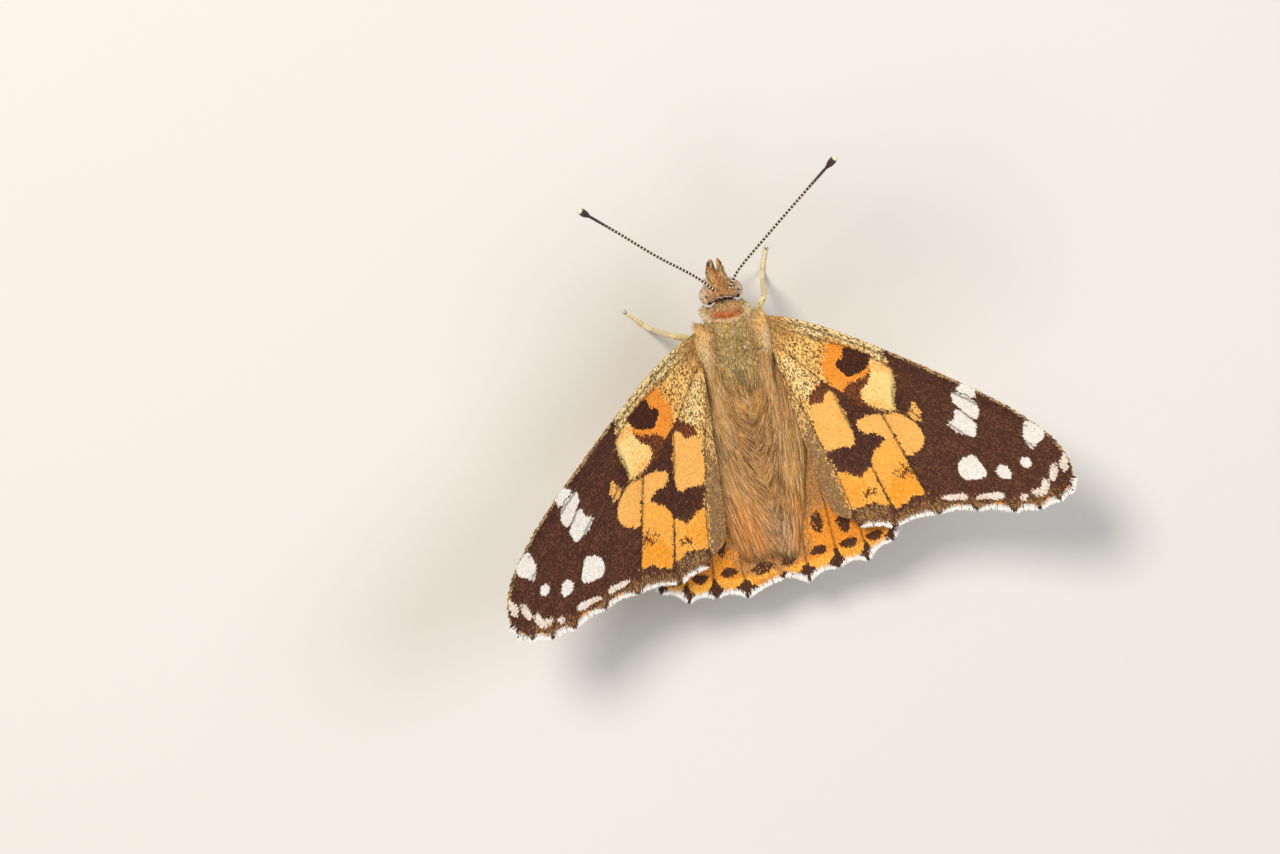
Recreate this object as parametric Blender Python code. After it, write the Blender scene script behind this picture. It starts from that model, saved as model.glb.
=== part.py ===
"""A painted lady butterfly at life size, standing with its wings spread.

The part's frame is in metres with +Z up, and its head points along -Y.
Sizes below are in millimetres. Most are given in the butterfly's own body
frame: how far a point lies out from the middle of the body, how far it
lies back from the line through the forewing roots, and how far up.
"""

import math

import bmesh
import bpy
from mathutils import Vector
from mathutils.geometry import delaunay_2d_cdt

MM = 0.001

# Stance
PITCH = math.radians(12.0)
ROOT_HEIGHT = 9.3
ROOT_AHEAD = 5.09
GAP = 0.3
LEFT, RIGHT = 1, -1

# Wings
WING_THICKNESS = 0.5
VEIN_RISE = 0.14
VEIN_HALF_WIDTH = 0.42
JOIN_REACH = 0.4
FILL_STEP = 2.6
SHOULDER_OUT = 2.79
FOREWING_SWEEP = math.radians(37.43)
FOREWING_DIHEDRAL = math.radians(19.27)
FOREWING_TILT = math.radians(-6.71)
FOREWING_LENGTH = 31.0
FOREWING_BOW = 0.35
HINDWING_DROP = 1.2
HINDWING_ROOT = (2.5, 3.0)
HINDWING_SWING = {LEFT: math.radians(3.2), RIGHT: math.radians(-3.2)}
SCALLOP_POINTS = 4

# Trunk: back, half width, half height, middle's height
COLLAR_STATIONS = [
    (-2.15, 1.25, 1.15, -0.95),
    (-1.95, 1.62, 1.45, -0.95),
    (-1.6, 1.8, 1.62, -1.0),
    (-1.3, 1.75, 1.6, -1.05),
]
THORAX_STATIONS = [
    (-1.0, 1.85, 1.75, -1.1),
    (-0.55, 2.25, 2.15, -1.15),
    (0.4, 2.62, 2.5, -1.25),
    (1.6, 2.88, 2.72, -1.35),
    (2.9, 2.95, 2.78, -1.45),
    (4.3, 2.78, 2.6, -1.55),
    (5.5, 2.35, 2.25, -1.6),
    (6.3, 1.8, 1.8, -1.6),
]
ABDOMEN_STATIONS = [
    (6.6, 1.7, 1.7, -1.6),
    (7.3, 1.98, 1.95, -1.55),
    (8.8, 2.15, 2.1, -1.45),
    (10.6, 2.12, 2.05, -1.3),
    (12.4, 1.95, 1.9, -1.1),
    (14.2, 1.68, 1.65, -0.9),
    (16.0, 1.32, 1.35, -0.75),
    (17.6, 0.95, 1.0, -0.65),
    (18.9, 0.58, 0.62, -0.6),
    (19.6, 0.25, 0.28, -0.6),
]
TRUNK_SQUARENESS = 2.4
TRUNK_SIDES = 28

# Head
HEAD_CENTRE = (0.0, -3.2, -0.95)
HEAD_HALF = (1.02, 1.25, 1.35)
EYE_CENTRE = (0.95, -3.35, -0.85)
EYE_HALF = (1.03, 1.1, 1.22)

# Colours
ORANGE = (0.86, 0.46, 0.13)
TAN = (0.55, 0.38, 0.19)
BUFF = (0.72, 0.55, 0.33)
DARK = (0.12, 0.07, 0.05)
EYE_BROWN = (0.25, 0.17, 0.11)


def stance(out, back, up):
    """Turn a place in the body frame into a place in the part's frame, in mm."""
    turned_back = back * math.cos(PITCH) + up * math.sin(PITCH)
    turned_up = up * math.cos(PITCH) - back * math.sin(PITCH)
    return Vector((out, turned_back - ROOT_AHEAD, turned_up + ROOT_HEIGHT))


def smooth(value, low, high):
    """Ease from 0 at low to 1 at high."""
    t = min(max((value - low) / (high - low), 0.0), 1.0)
    return t * t * (3.0 - 2.0 * t)


def curve_through(points, per_span):
    """Points on a smooth curve through the given ones, in any dimension."""
    points = [Vector(p) for p in points]
    first = points[0] * 2.0 - points[1]
    last = points[-1] * 2.0 - points[-2]
    padded = [first, *points, last]
    found = []
    for i in range(1, len(padded) - 2):
        a, b, c, d = padded[i - 1 : i + 3]
        for step in range(per_span):
            t = step / per_span
            found.append(
                0.5
                * (
                    b * 2.0
                    + (c - a) * t
                    + (a * 2.0 - b * 5.0 + c * 4.0 - d) * t**2
                    + (b * 3.0 - a - c * 3.0 + d) * t**3
                )
            )
    found.append(points[-1])
    return found


def material(name, colour, roughness):
    """A plain Principled material in the piece's own colour."""
    made = bpy.data.materials.new(name)
    made.use_nodes = True
    shader = made.node_tree.nodes["Principled BSDF"]
    shader.inputs["Base Color"].default_value = (*colour, 1.0)
    shader.inputs["Roughness"].default_value = roughness
    shader.inputs["Metallic"].default_value = 0.0
    return made


def butterfly_collection():
    """The collection that holds the butterfly's pieces."""
    found = bpy.data.collections.get("painted_lady")
    if found is None:
        found = bpy.data.collections.new("painted_lady")
        bpy.context.scene.collection.children.link(found)
    return found


def add_object(name, mesh, colour=TAN, roughness=0.7):
    """Put a mesh into the butterfly's collection under its node's name."""
    piece = bpy.data.objects.new(name, mesh)
    piece.data.materials.append(material(name, colour, roughness))
    butterfly_collection().objects.link(piece)
    return piece


def mesh_from(bm, name):
    """Close a bmesh into a mesh in metres, with its faces pointing out."""
    bmesh.ops.triangulate(bm, faces=bm.faces[:])
    bmesh.ops.recalc_face_normals(bm, faces=bm.faces[:])
    bmesh.ops.scale(bm, vec=(MM, MM, MM), verts=bm.verts[:])
    mesh = bpy.data.meshes.new(name)
    bm.to_mesh(mesh)
    bm.free()
    mesh.shade_smooth()
    mesh.set_sharp_from_angle(angle=math.radians(40.0))
    return mesh


def loft(name, rings, colour, roughness=0.7):
    """A closed solid through rings of like length, with a fan at each end."""
    bm = bmesh.new()
    loops = [[bm.verts.new(p) for p in ring] for ring in rings]
    count = len(loops[0])
    for near, far in zip(loops, loops[1:]):
        for i in range(count):
            j = (i + 1) % count
            bm.faces.new((near[i], near[j], far[j], far[i]))
    for loop in (loops[0], loops[-1]):
        middle = bm.verts.new(sum((v.co for v in loop), Vector()) / count)
        for i in range(count):
            bm.faces.new((loop[i], loop[(i + 1) % count], middle))
    return add_object(name, mesh_from(bm, name), colour, roughness)


def trunk_ring(back, half_width, half_height, middle):
    """One slightly squared ring of the trunk, in the part's frame."""
    ring = []
    for i in range(TRUNK_SIDES):
        angle = 2.0 * math.pi * i / TRUNK_SIDES
        across, rise = math.cos(angle), math.sin(angle)
        power = TRUNK_SQUARENESS
        reach = (abs(across) ** power + abs(rise) ** power) ** (-1.0 / power)
        ring.append(stance(half_width * across * reach, back, middle + half_height * rise * reach))
    return ring


def trunk_piece(name, stations, colour):
    """A length of the trunk through its stations."""
    smooth_stations = curve_through([Vector(s) for s in stations], 2)
    return loft(name, [trunk_ring(*s) for s in smooth_stations], colour)


def half_width_at(back):
    """The trunk's half width at a place along the body."""
    stations = THORAX_STATIONS + ABDOMEN_STATIONS
    for near, far in zip(stations, stations[1:]):
        if near[0] <= back <= far[0]:
            t = (back - near[0]) / (far[0] - near[0])
            return near[1] + (far[1] - near[1]) * t
    return stations[0][1] if back < stations[0][0] else 0.0


def ellipsoid(name, centre, half, colour, roughness=0.7, sides=20):
    """A ball stretched to its half sizes along the body frame's directions."""
    bm = bmesh.new()
    bmesh.ops.create_uvsphere(bm, u_segments=sides, v_segments=sides // 2 + 1, radius=1.0)
    for vert in bm.verts:
        x, y, z = vert.co
        vert.co = stance(centre[0] + x * half[0], centre[1] + y * half[1], centre[2] + z * half[2])
    return add_object(name, mesh_from(bm, name), colour, roughness)


def tube(name, points, radii, colour, roughness=0.6, resolution=2):
    """A round tapering rod along points in the part's frame, in mm."""
    curve = bpy.data.curves.new(name, "CURVE")
    curve.dimensions = "3D"
    curve.bevel_depth = MM
    curve.bevel_resolution = resolution
    curve.use_fill_caps = True
    spline = curve.splines.new("POLY")
    spline.points.add(len(points) - 1)
    for target, point, radius in zip(spline.points, points, radii):
        target.co = (*(Vector(point) * MM), 1.0)
        target.radius = radius
    guide = bpy.data.objects.new(name + "_guide", curve)
    bpy.context.scene.collection.objects.link(guide)
    bpy.context.view_layer.update()
    evaluated = guide.evaluated_get(bpy.context.evaluated_depsgraph_get())
    mesh = bpy.data.meshes.new_from_object(evaluated)
    bpy.data.objects.remove(guide)
    bm = bmesh.new()
    bm.from_mesh(mesh)
    bmesh.ops.scale(bm, vec=(1.0 / MM, 1.0 / MM, 1.0 / MM), verts=bm.verts[:])
    bmesh.ops.remove_doubles(bm, verts=bm.verts[:], dist=0.01)
    return add_object(name, mesh_from(bm, name), colour, roughness)


def tapered(radii, count):
    """Radii spread evenly along a path of the given number of points."""
    spread = []
    for i in range(count):
        place = i * (len(radii) - 1) / (count - 1)
        low = min(int(place), len(radii) - 2)
        spread.append(radii[low] + (radii[low + 1] - radii[low]) * (place - low))
    return spread


def keep_largest(piece):
    """Leave only the largest closed surface of a piece."""
    bm = bmesh.new()
    bm.from_mesh(piece.data)
    unseen, groups = set(bm.faces), []
    while unseen:
        group, border = set(), [unseen.pop()]
        while border:
            face = border.pop()
            group.add(face)
            for edge in face.edges:
                for other in edge.link_faces:
                    if other in unseen:
                        unseen.remove(other)
                        border.append(other)
        groups.append(group)
    groups.sort(key=lambda g: sum(f.calc_area() for f in g))
    doomed = [face for group in groups[:-1] for face in group]
    bmesh.ops.delete(bm, geom=doomed, context="FACES")
    bmesh.ops.triangulate(bm, faces=bm.faces[:])
    bm.to_mesh(piece.data)
    bm.free()


def keep_clear(piece, neighbour, gap=GAP):
    """Cut a piece back so that it meets its neighbour face to face."""
    cutters = bpy.data.collections.get("cutters")
    if cutters is None:
        cutters = bpy.data.collections.new("cutters")
        bpy.context.scene.collection.children.link(cutters)
    bm = bmesh.new()
    bm.from_mesh(neighbour.data)
    bm.normal_update()
    grown = [(v, v.co + v.normal * gap * MM) for v in bm.verts]
    for vert, place in grown:
        vert.co = place
    mesh = bpy.data.meshes.new(neighbour.name + "_clearance")
    bm.to_mesh(mesh)
    bm.free()
    cutter = bpy.data.objects.new(mesh.name, mesh)
    cutter.display_type = "WIRE"
    cutter.hide_render = True
    cutters.objects.link(cutter)
    cut = piece.modifiers.new("clear", "BOOLEAN")
    cut.operation = "DIFFERENCE"
    cut.solver = "EXACT"
    cut.object = cutter
    bpy.context.view_layer.update()
    evaluated = piece.evaluated_get(bpy.context.evaluated_depsgraph_get())
    cut_mesh = bpy.data.meshes.new_from_object(evaluated)
    piece.modifiers.clear()
    piece.data = cut_mesh
    bpy.data.objects.remove(cutter)
    keep_largest(piece)


def forewing_place(u, v, w, side):
    """A place on the forewing: u from root to tip, v to the rear, w above its face."""
    bow = FOREWING_BOW * (1.0 - (2.0 * u / FOREWING_LENGTH - 1.0) ** 2)
    x = u * math.cos(FOREWING_SWEEP) - v * math.sin(FOREWING_SWEEP)
    y = u * math.sin(FOREWING_SWEEP) + v * math.cos(FOREWING_SWEEP)
    lift = w + bow
    out = x * math.cos(FOREWING_DIHEDRAL) - lift * math.sin(FOREWING_DIHEDRAL)
    up = x * math.sin(FOREWING_DIHEDRAL) + lift * math.cos(FOREWING_DIHEDRAL)
    back = y * math.cos(FOREWING_TILT) + up * math.sin(FOREWING_TILT)
    up = up * math.cos(FOREWING_TILT) - y * math.sin(FOREWING_TILT)
    return stance(side * (SHOULDER_OUT + out), back, up)


def forewing_height(out, back):
    """Height of the forewing's flat plane above a place in the body frame."""
    rise = math.tan(FOREWING_DIHEDRAL) / math.cos(FOREWING_TILT) * (out - SHOULDER_OUT)
    return rise - math.tan(FOREWING_TILT) * back


def hindwing_to_body(s, t, side):
    """Swing a hindwing place about its root: how far out and back it lies."""
    swing = HINDWING_SWING[side]
    out = HINDWING_ROOT[0] + s * math.cos(swing) + t * math.sin(swing)
    back = HINDWING_ROOT[1] + t * math.cos(swing) - s * math.sin(swing)
    return out, back


def body_to_hindwing(out, back, side):
    """The hindwing place that lies so far out and back."""
    swing = HINDWING_SWING[side]
    x, y = out - HINDWING_ROOT[0], back - HINDWING_ROOT[1]
    return x * math.cos(swing) - y * math.sin(swing), y * math.cos(swing) + x * math.sin(swing)


def hindwing_height(out, back):
    """The hindwing follows the forewing above it and levels out beside the body."""
    level = 2.2 + 2.8 * smooth(back, 12.0, 22.0)
    held_out = 0.5 * (out + level + math.hypot(out - level, 0.8))
    return forewing_height(held_out, back) - HINDWING_DROP


def hindwing_place(s, t, w, side):
    """A place on the hindwing: s outward, t to the rear, w above its face."""
    out, back = hindwing_to_body(s, t, side)
    up = hindwing_height(out, back)
    step = 0.05
    slope_out = (hindwing_height(out + step, back) - up) / step
    slope_back = (hindwing_height(out, back + step) - up) / step
    normal = Vector((-slope_out, -slope_back, 1.0)).normalized() * w
    return stance(side * (out + normal.x), back + normal.y, up + normal.z)


def scalloped(vein_ends, dips):
    """The outer margin: it runs in a shallow hollow from each vein's end to the next."""
    margin = []
    for start, end, dip in zip(vein_ends, vein_ends[1:], dips):
        along = Vector(end) - Vector(start)
        inward = Vector((-along.y, along.x)).normalized()
        for i in range(SCALLOP_POINTS):
            t = i / SCALLOP_POINTS
            hollow = dip * math.sin(math.pi * t) ** 0.7
            margin.append(Vector(start) + along * t + inward * hollow)
    return margin


# Forewing outline and veins, as u and v
FORE_COSTA = [
    (-0.35, -0.35),
    (2.2, -1.35),
    (6.0, -2.1),
    (12.0, -2.58),
    (19.0, -2.8),
    (24.0, -2.55),
    (27.5, -1.85),
    (29.7, -0.65),
    (31.1, 0.4),
]
FORE_VEIN_ENDS = [
    (31.15, 0.45),
    (31.5, 1.65),
    (30.85, 3.0),
    (29.6, 4.6),
    (27.6, 5.85),
    (24.55, 7.2),
    (21.75, 9.0),
    (18.7, 11.85),
    (15.7, 13.35),
]
FORE_DIPS = [0.06, 0.12, 0.2, 0.22, 0.3, 0.4, 0.42, 0.3]
FORE_REAR = [(15.7, 13.35), (13.3, 13.05), (11.9, 12.2), (9.0, 9.3), (5.0, 5.0), (2.2, 2.05), (0.3, 0.75)]
FORE_VEINS = [
    [(0.2, -0.5), (4.0, -1.35), (9.0, -1.95), (14.0, -2.25), (17.0, -2.35)],
    [(0.3, -0.15), (3.0, -0.45), (6.0, -1.0), (8.5, -1.4), (11.0, -1.45), (14.5, -1.7), (18.0, -1.75),
     (22.0, -1.7), (25.0, -1.85)],
    [(11.6, -1.4), (14.0, -1.1), (16.5, -0.9), (18.9, -0.65), (20.6, -0.35), (23.5, 0.0), (26.3, 0.5),
     (28.6, 1.75), (30.6, 2.85)],
    [(21.6, -0.15), (24.5, -0.6), (27.3, -0.3), (29.2, 0.35), (31.2, 1.5)],
    [(13.1, 0.1), (17.0, 0.7), (21.2, 1.3), (23.6, 1.55), (25.8, 2.1), (29.4, 4.4)],
    [(13.7, 1.3), (17.0, 1.6), (20.5, 2.05), (23.8, 3.3), (27.4, 5.7)],
    [(0.7, 1.0), (3.0, 1.45), (5.0, 1.9), (8.2, 2.7), (10.5, 2.75), (13.0, 2.65)],
    [(13.0, 2.65), (14.3, 2.05), (16.3, 2.1), (18.5, 3.3), (21.5, 5.2), (24.3, 7.0)],
    [(13.0, 2.65), (15.0, 4.15), (17.0, 5.6), (19.4, 7.35), (21.5, 8.8)],
    [(8.2, 2.7), (10.0, 4.2), (11.8, 5.55), (14.0, 7.3), (17.3, 9.95), (18.5, 11.6)],
    [(12.6, -1.1), (13.1, 0.1), (13.7, 1.3), (14.3, 2.05)],
    [(0.8, 1.45), (4.0, 3.7), (7.5, 6.15), (9.6, 7.85), (12.0, 9.7), (14.2, 11.75), (15.5, 13.1)],
]

# Hindwing outline and veins, as s and t
HIND_COSTA = [(0.75, -0.45), (3.6, 0.15), (7.4, 1.7), (10.8, 4.1), (12.8, 7.0), (13.4, 9.9)]
HIND_VEIN_ENDS = [
    (13.4, 9.9),
    (12.9, 13.2),
    (11.15, 16.2),
    (8.35, 18.5),
    (5.95, 20.15),
    (3.25, 20.5),
    (0.35, 21.25),
    (-2.0, 20.2),
]
HIND_DIPS = [0.3, 0.45, 0.5, 0.5, 0.5, 0.5, 0.25]
HIND_INNER_BACKS = [20.6, 18.9, 17.0, 15.0, 12.8, 10.4, 8.0, 6.4, 4.6]
HIND_VEINS = [
    [(0.9, -0.05), (4.5, 1.5), (8.5, 3.7), (11.6, 6.6), (13.1, 9.6)],
    [(4.5, 2.3), (8.0, 5.4), (10.8, 9.2), (12.7, 13.0)],
    [(1.0, 0.3), (4.5, 2.3), (6.2, 6.0), (8.4, 11.0), (11.0, 16.0)],
    [(6.2, 6.0), (6.6, 10.2), (7.4, 14.5), (8.3, 18.3)],
    [(4.7, 9.0), (5.2, 13.5), (5.6, 17.3), (5.93, 19.9)],
    [(1.05, 0.9), (2.4, 4.5), (3.9, 8.0), (4.7, 9.0)],
    [(2.4, 6.3), (2.7, 11.0), (2.95, 15.0), (3.15, 18.5), (3.24, 20.3)],
    [(1.0, 1.8), (1.2, 4.8), (0.9, 10.0), (0.5, 15.0), (0.35, 21.0)],
]


def wing_outline(costa, vein_ends, dips, rear):
    """Closed outline of a wing in its own flat coordinates."""
    return curve_through(costa, 4)[:-1] + scalloped(vein_ends, dips) + rear


def inside(point, outline):
    """Whether a flat point lies within an outline."""
    hit = False
    for a, b in zip(outline, outline[1:] + outline[:1]):
        if (a.y > point.y) != (b.y > point.y):
            if point.x < a.x + (point.y - a.y) / (b.y - a.y) * (b.x - a.x):
                hit = not hit
    return hit


def distance_to(point, line):
    """How far a flat point lies from a run of straight pieces."""
    best = 1e9
    for a, b in zip(line, line[1:]):
        along = b - a
        t = max(0.0, min(1.0, (point - a).dot(along) / max(along.length_squared, 1e-9)))
        best = min(best, (point - a - along * t).length)
    return best


def wing(name, outline, veins, place, side, colour):
    """A thin wing whose veins stand up as ridges in its own surface, alike on both faces."""
    edge = outline + outline[:1]
    lines = [curve_through([Vector(p) for p in vein], 2) for vein in veins]
    points, rises = list(outline), [0.0] * len(outline)
    edges = [(i, (i + 1) % len(outline)) for i in range(len(outline))]

    def room(p, spare):
        return inside(p, outline) and distance_to(p, edge) > spare

    for line in lines:
        ridge = []
        for p in line:
            joined = [i for i, q in enumerate(points) if rises[i] > 0.0 and (p - q).length < JOIN_REACH]
            if joined:
                if joined[0] not in ridge:
                    ridge.append(joined[0])
            elif room(p, 0.12) and all((p - q).length > 0.25 for q in points):
                ridge.append(len(points))
                points.append(p)
                rises.append(VEIN_RISE)
        edges += list(zip(ridge, ridge[1:]))
    for line in lines:
        for before, p, after in zip(line, line[1:], line[2:]):
            across = (after - before).normalized()
            for sign in (1, -1):
                flank = p + Vector((-across.y, across.x)) * VEIN_HALF_WIDTH * sign
                clear = all(distance_to(flank, other) > VEIN_HALF_WIDTH * 0.8 for other in lines)
                if clear and room(flank, 0.2) and all((flank - q).length > 0.4 for q in points):
                    points.append(flank)
                    rises.append(0.0)
    low = Vector((min(p.x for p in outline), min(p.y for p in outline)))
    high = Vector((max(p.x for p in outline), max(p.y for p in outline)))
    for row in range(int((high.y - low.y) / FILL_STEP) + 2):
        for column in range(int((high.x - low.x) / FILL_STEP) + 2):
            p = low + Vector((column + 0.5 * (row % 2), row)) * FILL_STEP
            if room(p, 0.9) and all((p - q).length > 1.1 for q in points):
                points.append(p)
                rises.append(0.0)

    flat, _, faces, origins, _, _ = delaunay_2d_cdt(points, edges, [], 1, 1e-4)
    rise_of = []
    for p, origin in zip(flat, origins):
        known = [rises[i] for i in origin if i < len(rises)]
        rise_of.append(max(known) if known else VEIN_RISE)
    kept = [f for f in faces if inside(sum((flat[i] for i in f), Vector((0, 0))) / len(f), outline)]
    used = sorted({i for f in kept for i in f})
    bm = bmesh.new()
    upper, lower = {}, {}
    for i in used:
        half = WING_THICKNESS / 2.0 + rise_of[i]
        upper[i] = bm.verts.new(place(flat[i].x, flat[i].y, half, side))
        lower[i] = bm.verts.new(place(flat[i].x, flat[i].y, -half, side))
    borders = {}
    for f in kept:
        bm.faces.new([upper[i] for i in f])
        bm.faces.new([lower[i] for i in reversed(f)])
        for a, b in zip(f, f[1:] + f[:1]):
            borders[(a, b)] = borders.get((a, b), 0) + 1
    for a, b in borders:
        if (b, a) not in borders:
            bm.faces.new((upper[b], upper[a], lower[a], lower[b]))
    return add_object(name, mesh_from(bm, name), colour, 0.65)


def make_wings(side, word):
    """The forewing and hindwing of one side."""
    rear = curve_through(FORE_REAR, 2)
    outline = wing_outline(FORE_COSTA, FORE_VEIN_ENDS, FORE_DIPS, rear)
    wing("forewing_" + word, outline, FORE_VEINS, forewing_place, side, ORANGE)
    inner = []
    for back in HIND_INNER_BACKS:
        out = max(half_width_at(back) + 0.35, 0.45)
        inner.append(Vector(body_to_hindwing(out, back, side)))
    if side == RIGHT:
        inner[0] = Vector(HIND_VEIN_ENDS[-1]) + Vector((0.0, -1.3))
    rear = [Vector(HIND_VEIN_ENDS[-1]), *inner]
    outline = wing_outline(HIND_COSTA, HIND_VEIN_ENDS, HIND_DIPS, rear)
    wing("hindwing_" + word, outline, HIND_VEINS, hindwing_place, side, ORANGE)


# Antennae, as out, back and up
ANTENNA_ROUTES = {
    RIGHT: [(0.6, -3.3, -0.3), (1.9, -5.34, 0.8), (5.07, -8.28, 2.3), (8.75, -11.64, 4.1), (11.7, -14.26, 5.5)],
    LEFT: [(0.45, -3.4, -0.3), (2.21, -5.77, 1.0), (5.25, -8.83, 2.5), (8.21, -12.12, 3.9), (11.26, -15.42, 5.5)],
}
ANTENNA_RADIUS = 0.25
CLUB_RADIUS = 0.42
CLUB_SHARE = 0.13


def make_antenna(side, word, head):
    """A thin feeler that ends in a small club."""
    route = curve_through([stance(side * o, b, u) for o, b, u in ANTENNA_ROUTES[side]], 5)
    last = len(route) - 1
    club = curve_through([route[last - 2], route[last - 1], route[last]], 3)
    route = route[: last - 2] + club
    radii = []
    for i in range(len(route)):
        share = (len(route) - 1 - i) / len(club)
        swell = math.sin(math.pi * min(share + 0.12, 1.0)) if share < 1.0 else 0.0
        radii.append(ANTENNA_RADIUS + (CLUB_RADIUS - ANTENNA_RADIUS) * max(swell, 0.0))
    radii[-1] = 0.16
    antenna = tube("antenna_" + word, route, radii, DARK)
    keep_clear(antenna, head)
    keep_clear(antenna, bpy.data.objects["eye_" + word])


def make_head():
    """The head with its eyes, palps, feelers and coiled tongue."""
    head = ellipsoid("head", HEAD_CENTRE, HEAD_HALF, TAN, sides=24)
    for side, word in ((LEFT, "left"), (RIGHT, "right")):
        centre = (side * EYE_CENTRE[0], EYE_CENTRE[1], EYE_CENTRE[2])
        eye = ellipsoid("eye_" + word, centre, EYE_HALF, EYE_BROWN, 0.3, sides=20)
        keep_clear(eye, head)
    return head


def make_palp(side, word, head):
    """A palp that reaches forward past the face."""
    route = curve_through(
        [
            stance(side * 0.72, -3.9, -2.1),
            stance(side * 0.72, -4.7, -2.0),
            stance(side * 0.6, -5.5, -1.6),
            stance(side * 0.4, -6.15, -1.1),
        ],
        4,
    )
    palp = tube("palp_" + word, route, tapered([0.3, 0.36, 0.33, 0.12], len(route)), BUFF)
    keep_clear(palp, head)
    keep_clear(palp, bpy.data.objects["eye_" + word])


def make_tongue(head):
    """The sucking tongue, rolled up between the palps."""
    turns, spacing, inner = 1.6, 0.56, 0.3
    points = []
    count = 30
    for i in range(count):
        t = i / (count - 1)
        angle = math.radians(70.0) + 2.0 * math.pi * turns * t
        radius = inner + spacing * turns * t
        points.append(stance(0.0, -4.35 + radius * math.cos(angle), -3.35 + radius * math.sin(angle)))
    tongue = tube("proboscis", points, tapered([0.15, 0.2, 0.22], count), DARK, resolution=2)
    keep_clear(tongue, head)


def make_tegula(side, word, thorax, forewing):
    """The scale that covers the forewing's root."""
    tegula = ellipsoid("tegula_" + word, (side * 2.5, 1.0, 0.85), (0.75, 1.75, 0.6), BUFF, sides=16)
    keep_clear(tegula, thorax)
    keep_clear(tegula, forewing)


# Legs: the joints from hip to toe, in the part's frame; the toe's stretch lies on the floor
FOOT_MIDDLE = 0.16
MID_LEGS = {
    RIGHT: [(0.9, 1.3, 5.9), (1.4, 1.2, 5.1), (4.0, -1.9, 7.1), (4.7, -2.9, 1.8), (5.1, -3.5, FOOT_MIDDLE),
            (5.9, -5.3, FOOT_MIDDLE)],
    LEFT: [(0.9, 1.3, 5.9), (1.4, 1.2, 5.1), (5.1, -0.5, 7.0), (6.1, -1.0, 1.8), (6.6, -1.5, FOOT_MIDDLE),
           (7.8, -2.9, FOOT_MIDDLE)],
}
HIND_LEGS = {
    RIGHT: [(0.9, 4.0, 5.4), (1.3, 4.2, 4.6), (4.5, 6.6, 4.7), (6.0, 11.0, 1.7), (6.8, 13.2, FOOT_MIDDLE),
            (7.4, 15.9, FOOT_MIDDLE)],
    LEFT: [(0.9, 4.0, 5.4), (1.3, 4.2, 4.6), (4.7, 6.4, 4.7), (6.3, 10.7, 1.7), (7.2, 12.9, FOOT_MIDDLE),
           (8.0, 15.5, FOOT_MIDDLE)],
}
FORE_LEG = [(0.9, -0.2, -2.6), (1.15, 0.3, -3.4), (1.05, -1.3, -3.1), (1.0, -2.9, -2.75), (0.95, -3.9, -2.85)]
LEG_RADII = [0.38, 0.4, 0.3, 0.26, 0.25, 0.25]


def make_leg(name, side, joints, neighbours):
    """A jointed leg whose foot lies flat on the floor."""
    world = [Vector((side * x, y - ROOT_AHEAD, z)) for x, y, z in joints]
    route, radii = [], []
    for i in range(len(world) - 1):
        steps = 3
        for step in range(steps):
            t = step / steps
            route.append(world[i].lerp(world[i + 1], t))
            swell = 0.1 * math.sin(math.pi * t) if i in (1, 2) else 0.0
            radii.append(LEG_RADII[i] + (LEG_RADII[i + 1] - LEG_RADII[i]) * t + swell)
    route.append(world[-1])
    radii.append(LEG_RADII[-1] * 0.8)
    leg = tube(name, route, radii, BUFF)
    for vert in leg.data.vertices:
        vert.co.z = max(vert.co.z, 0.0)
    for neighbour in neighbours:
        keep_clear(leg, neighbour)


def make_foreleg(side, word, neighbours):
    """A short brush leg, folded against the breast."""
    joints = [stance(side * x, y, z) for x, y, z in FORE_LEG]
    route = curve_through(joints, 3)
    leg = tube("foreleg_" + word, route, tapered([0.3, 0.34, 0.3, 0.28, 0.18], len(route)), BUFF)
    for neighbour in neighbours:
        keep_clear(leg, neighbour)


def clear_scene():
    """Remove what the open file holds."""
    for item in list(bpy.data.objects):
        bpy.data.objects.remove(item, do_unlink=True)


def main():
    """Build the whole butterfly."""
    clear_scene()
    thorax = trunk_piece("thorax", THORAX_STATIONS, TAN)
    trunk_piece("abdomen", ABDOMEN_STATIONS, TAN)
    head = make_head()
    collar = trunk_piece("collar", COLLAR_STATIONS, ORANGE)
    keep_clear(head, collar)
    make_tongue(head)
    for side, word in ((LEFT, "left"), (RIGHT, "right")):
        make_wings(side, word)
        make_antenna(side, word, head)
        make_palp(side, word, head)
        make_tegula(side, word, thorax, bpy.data.objects["forewing_" + word])
        make_leg("midleg_" + word, side, MID_LEGS[side], [thorax])
        make_leg("hindleg_" + word, side, HIND_LEGS[side], [thorax])
        make_foreleg(side, word, [thorax, collar])


main()
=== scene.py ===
"""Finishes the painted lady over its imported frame, and sets a plain studio round it.

Sizes are in millimetres and places in the part's frame, unless a name says otherwise.
A body place says how far out, back and up a point lies from the middle of the line
through the forewing roots. A flat place lies on a wing that is laid out flat: for a
forewing u runs from root to tip and v to the rear, and for a hindwing s runs outward
and t to the rear.
"""

import logging
import math
from collections.abc import Callable
from dataclasses import dataclass, field
from enum import Enum

import bpy
import numpy as np
from mathutils import Matrix, Vector
from mathutils.geometry import delaunay_2d_cdt

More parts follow.
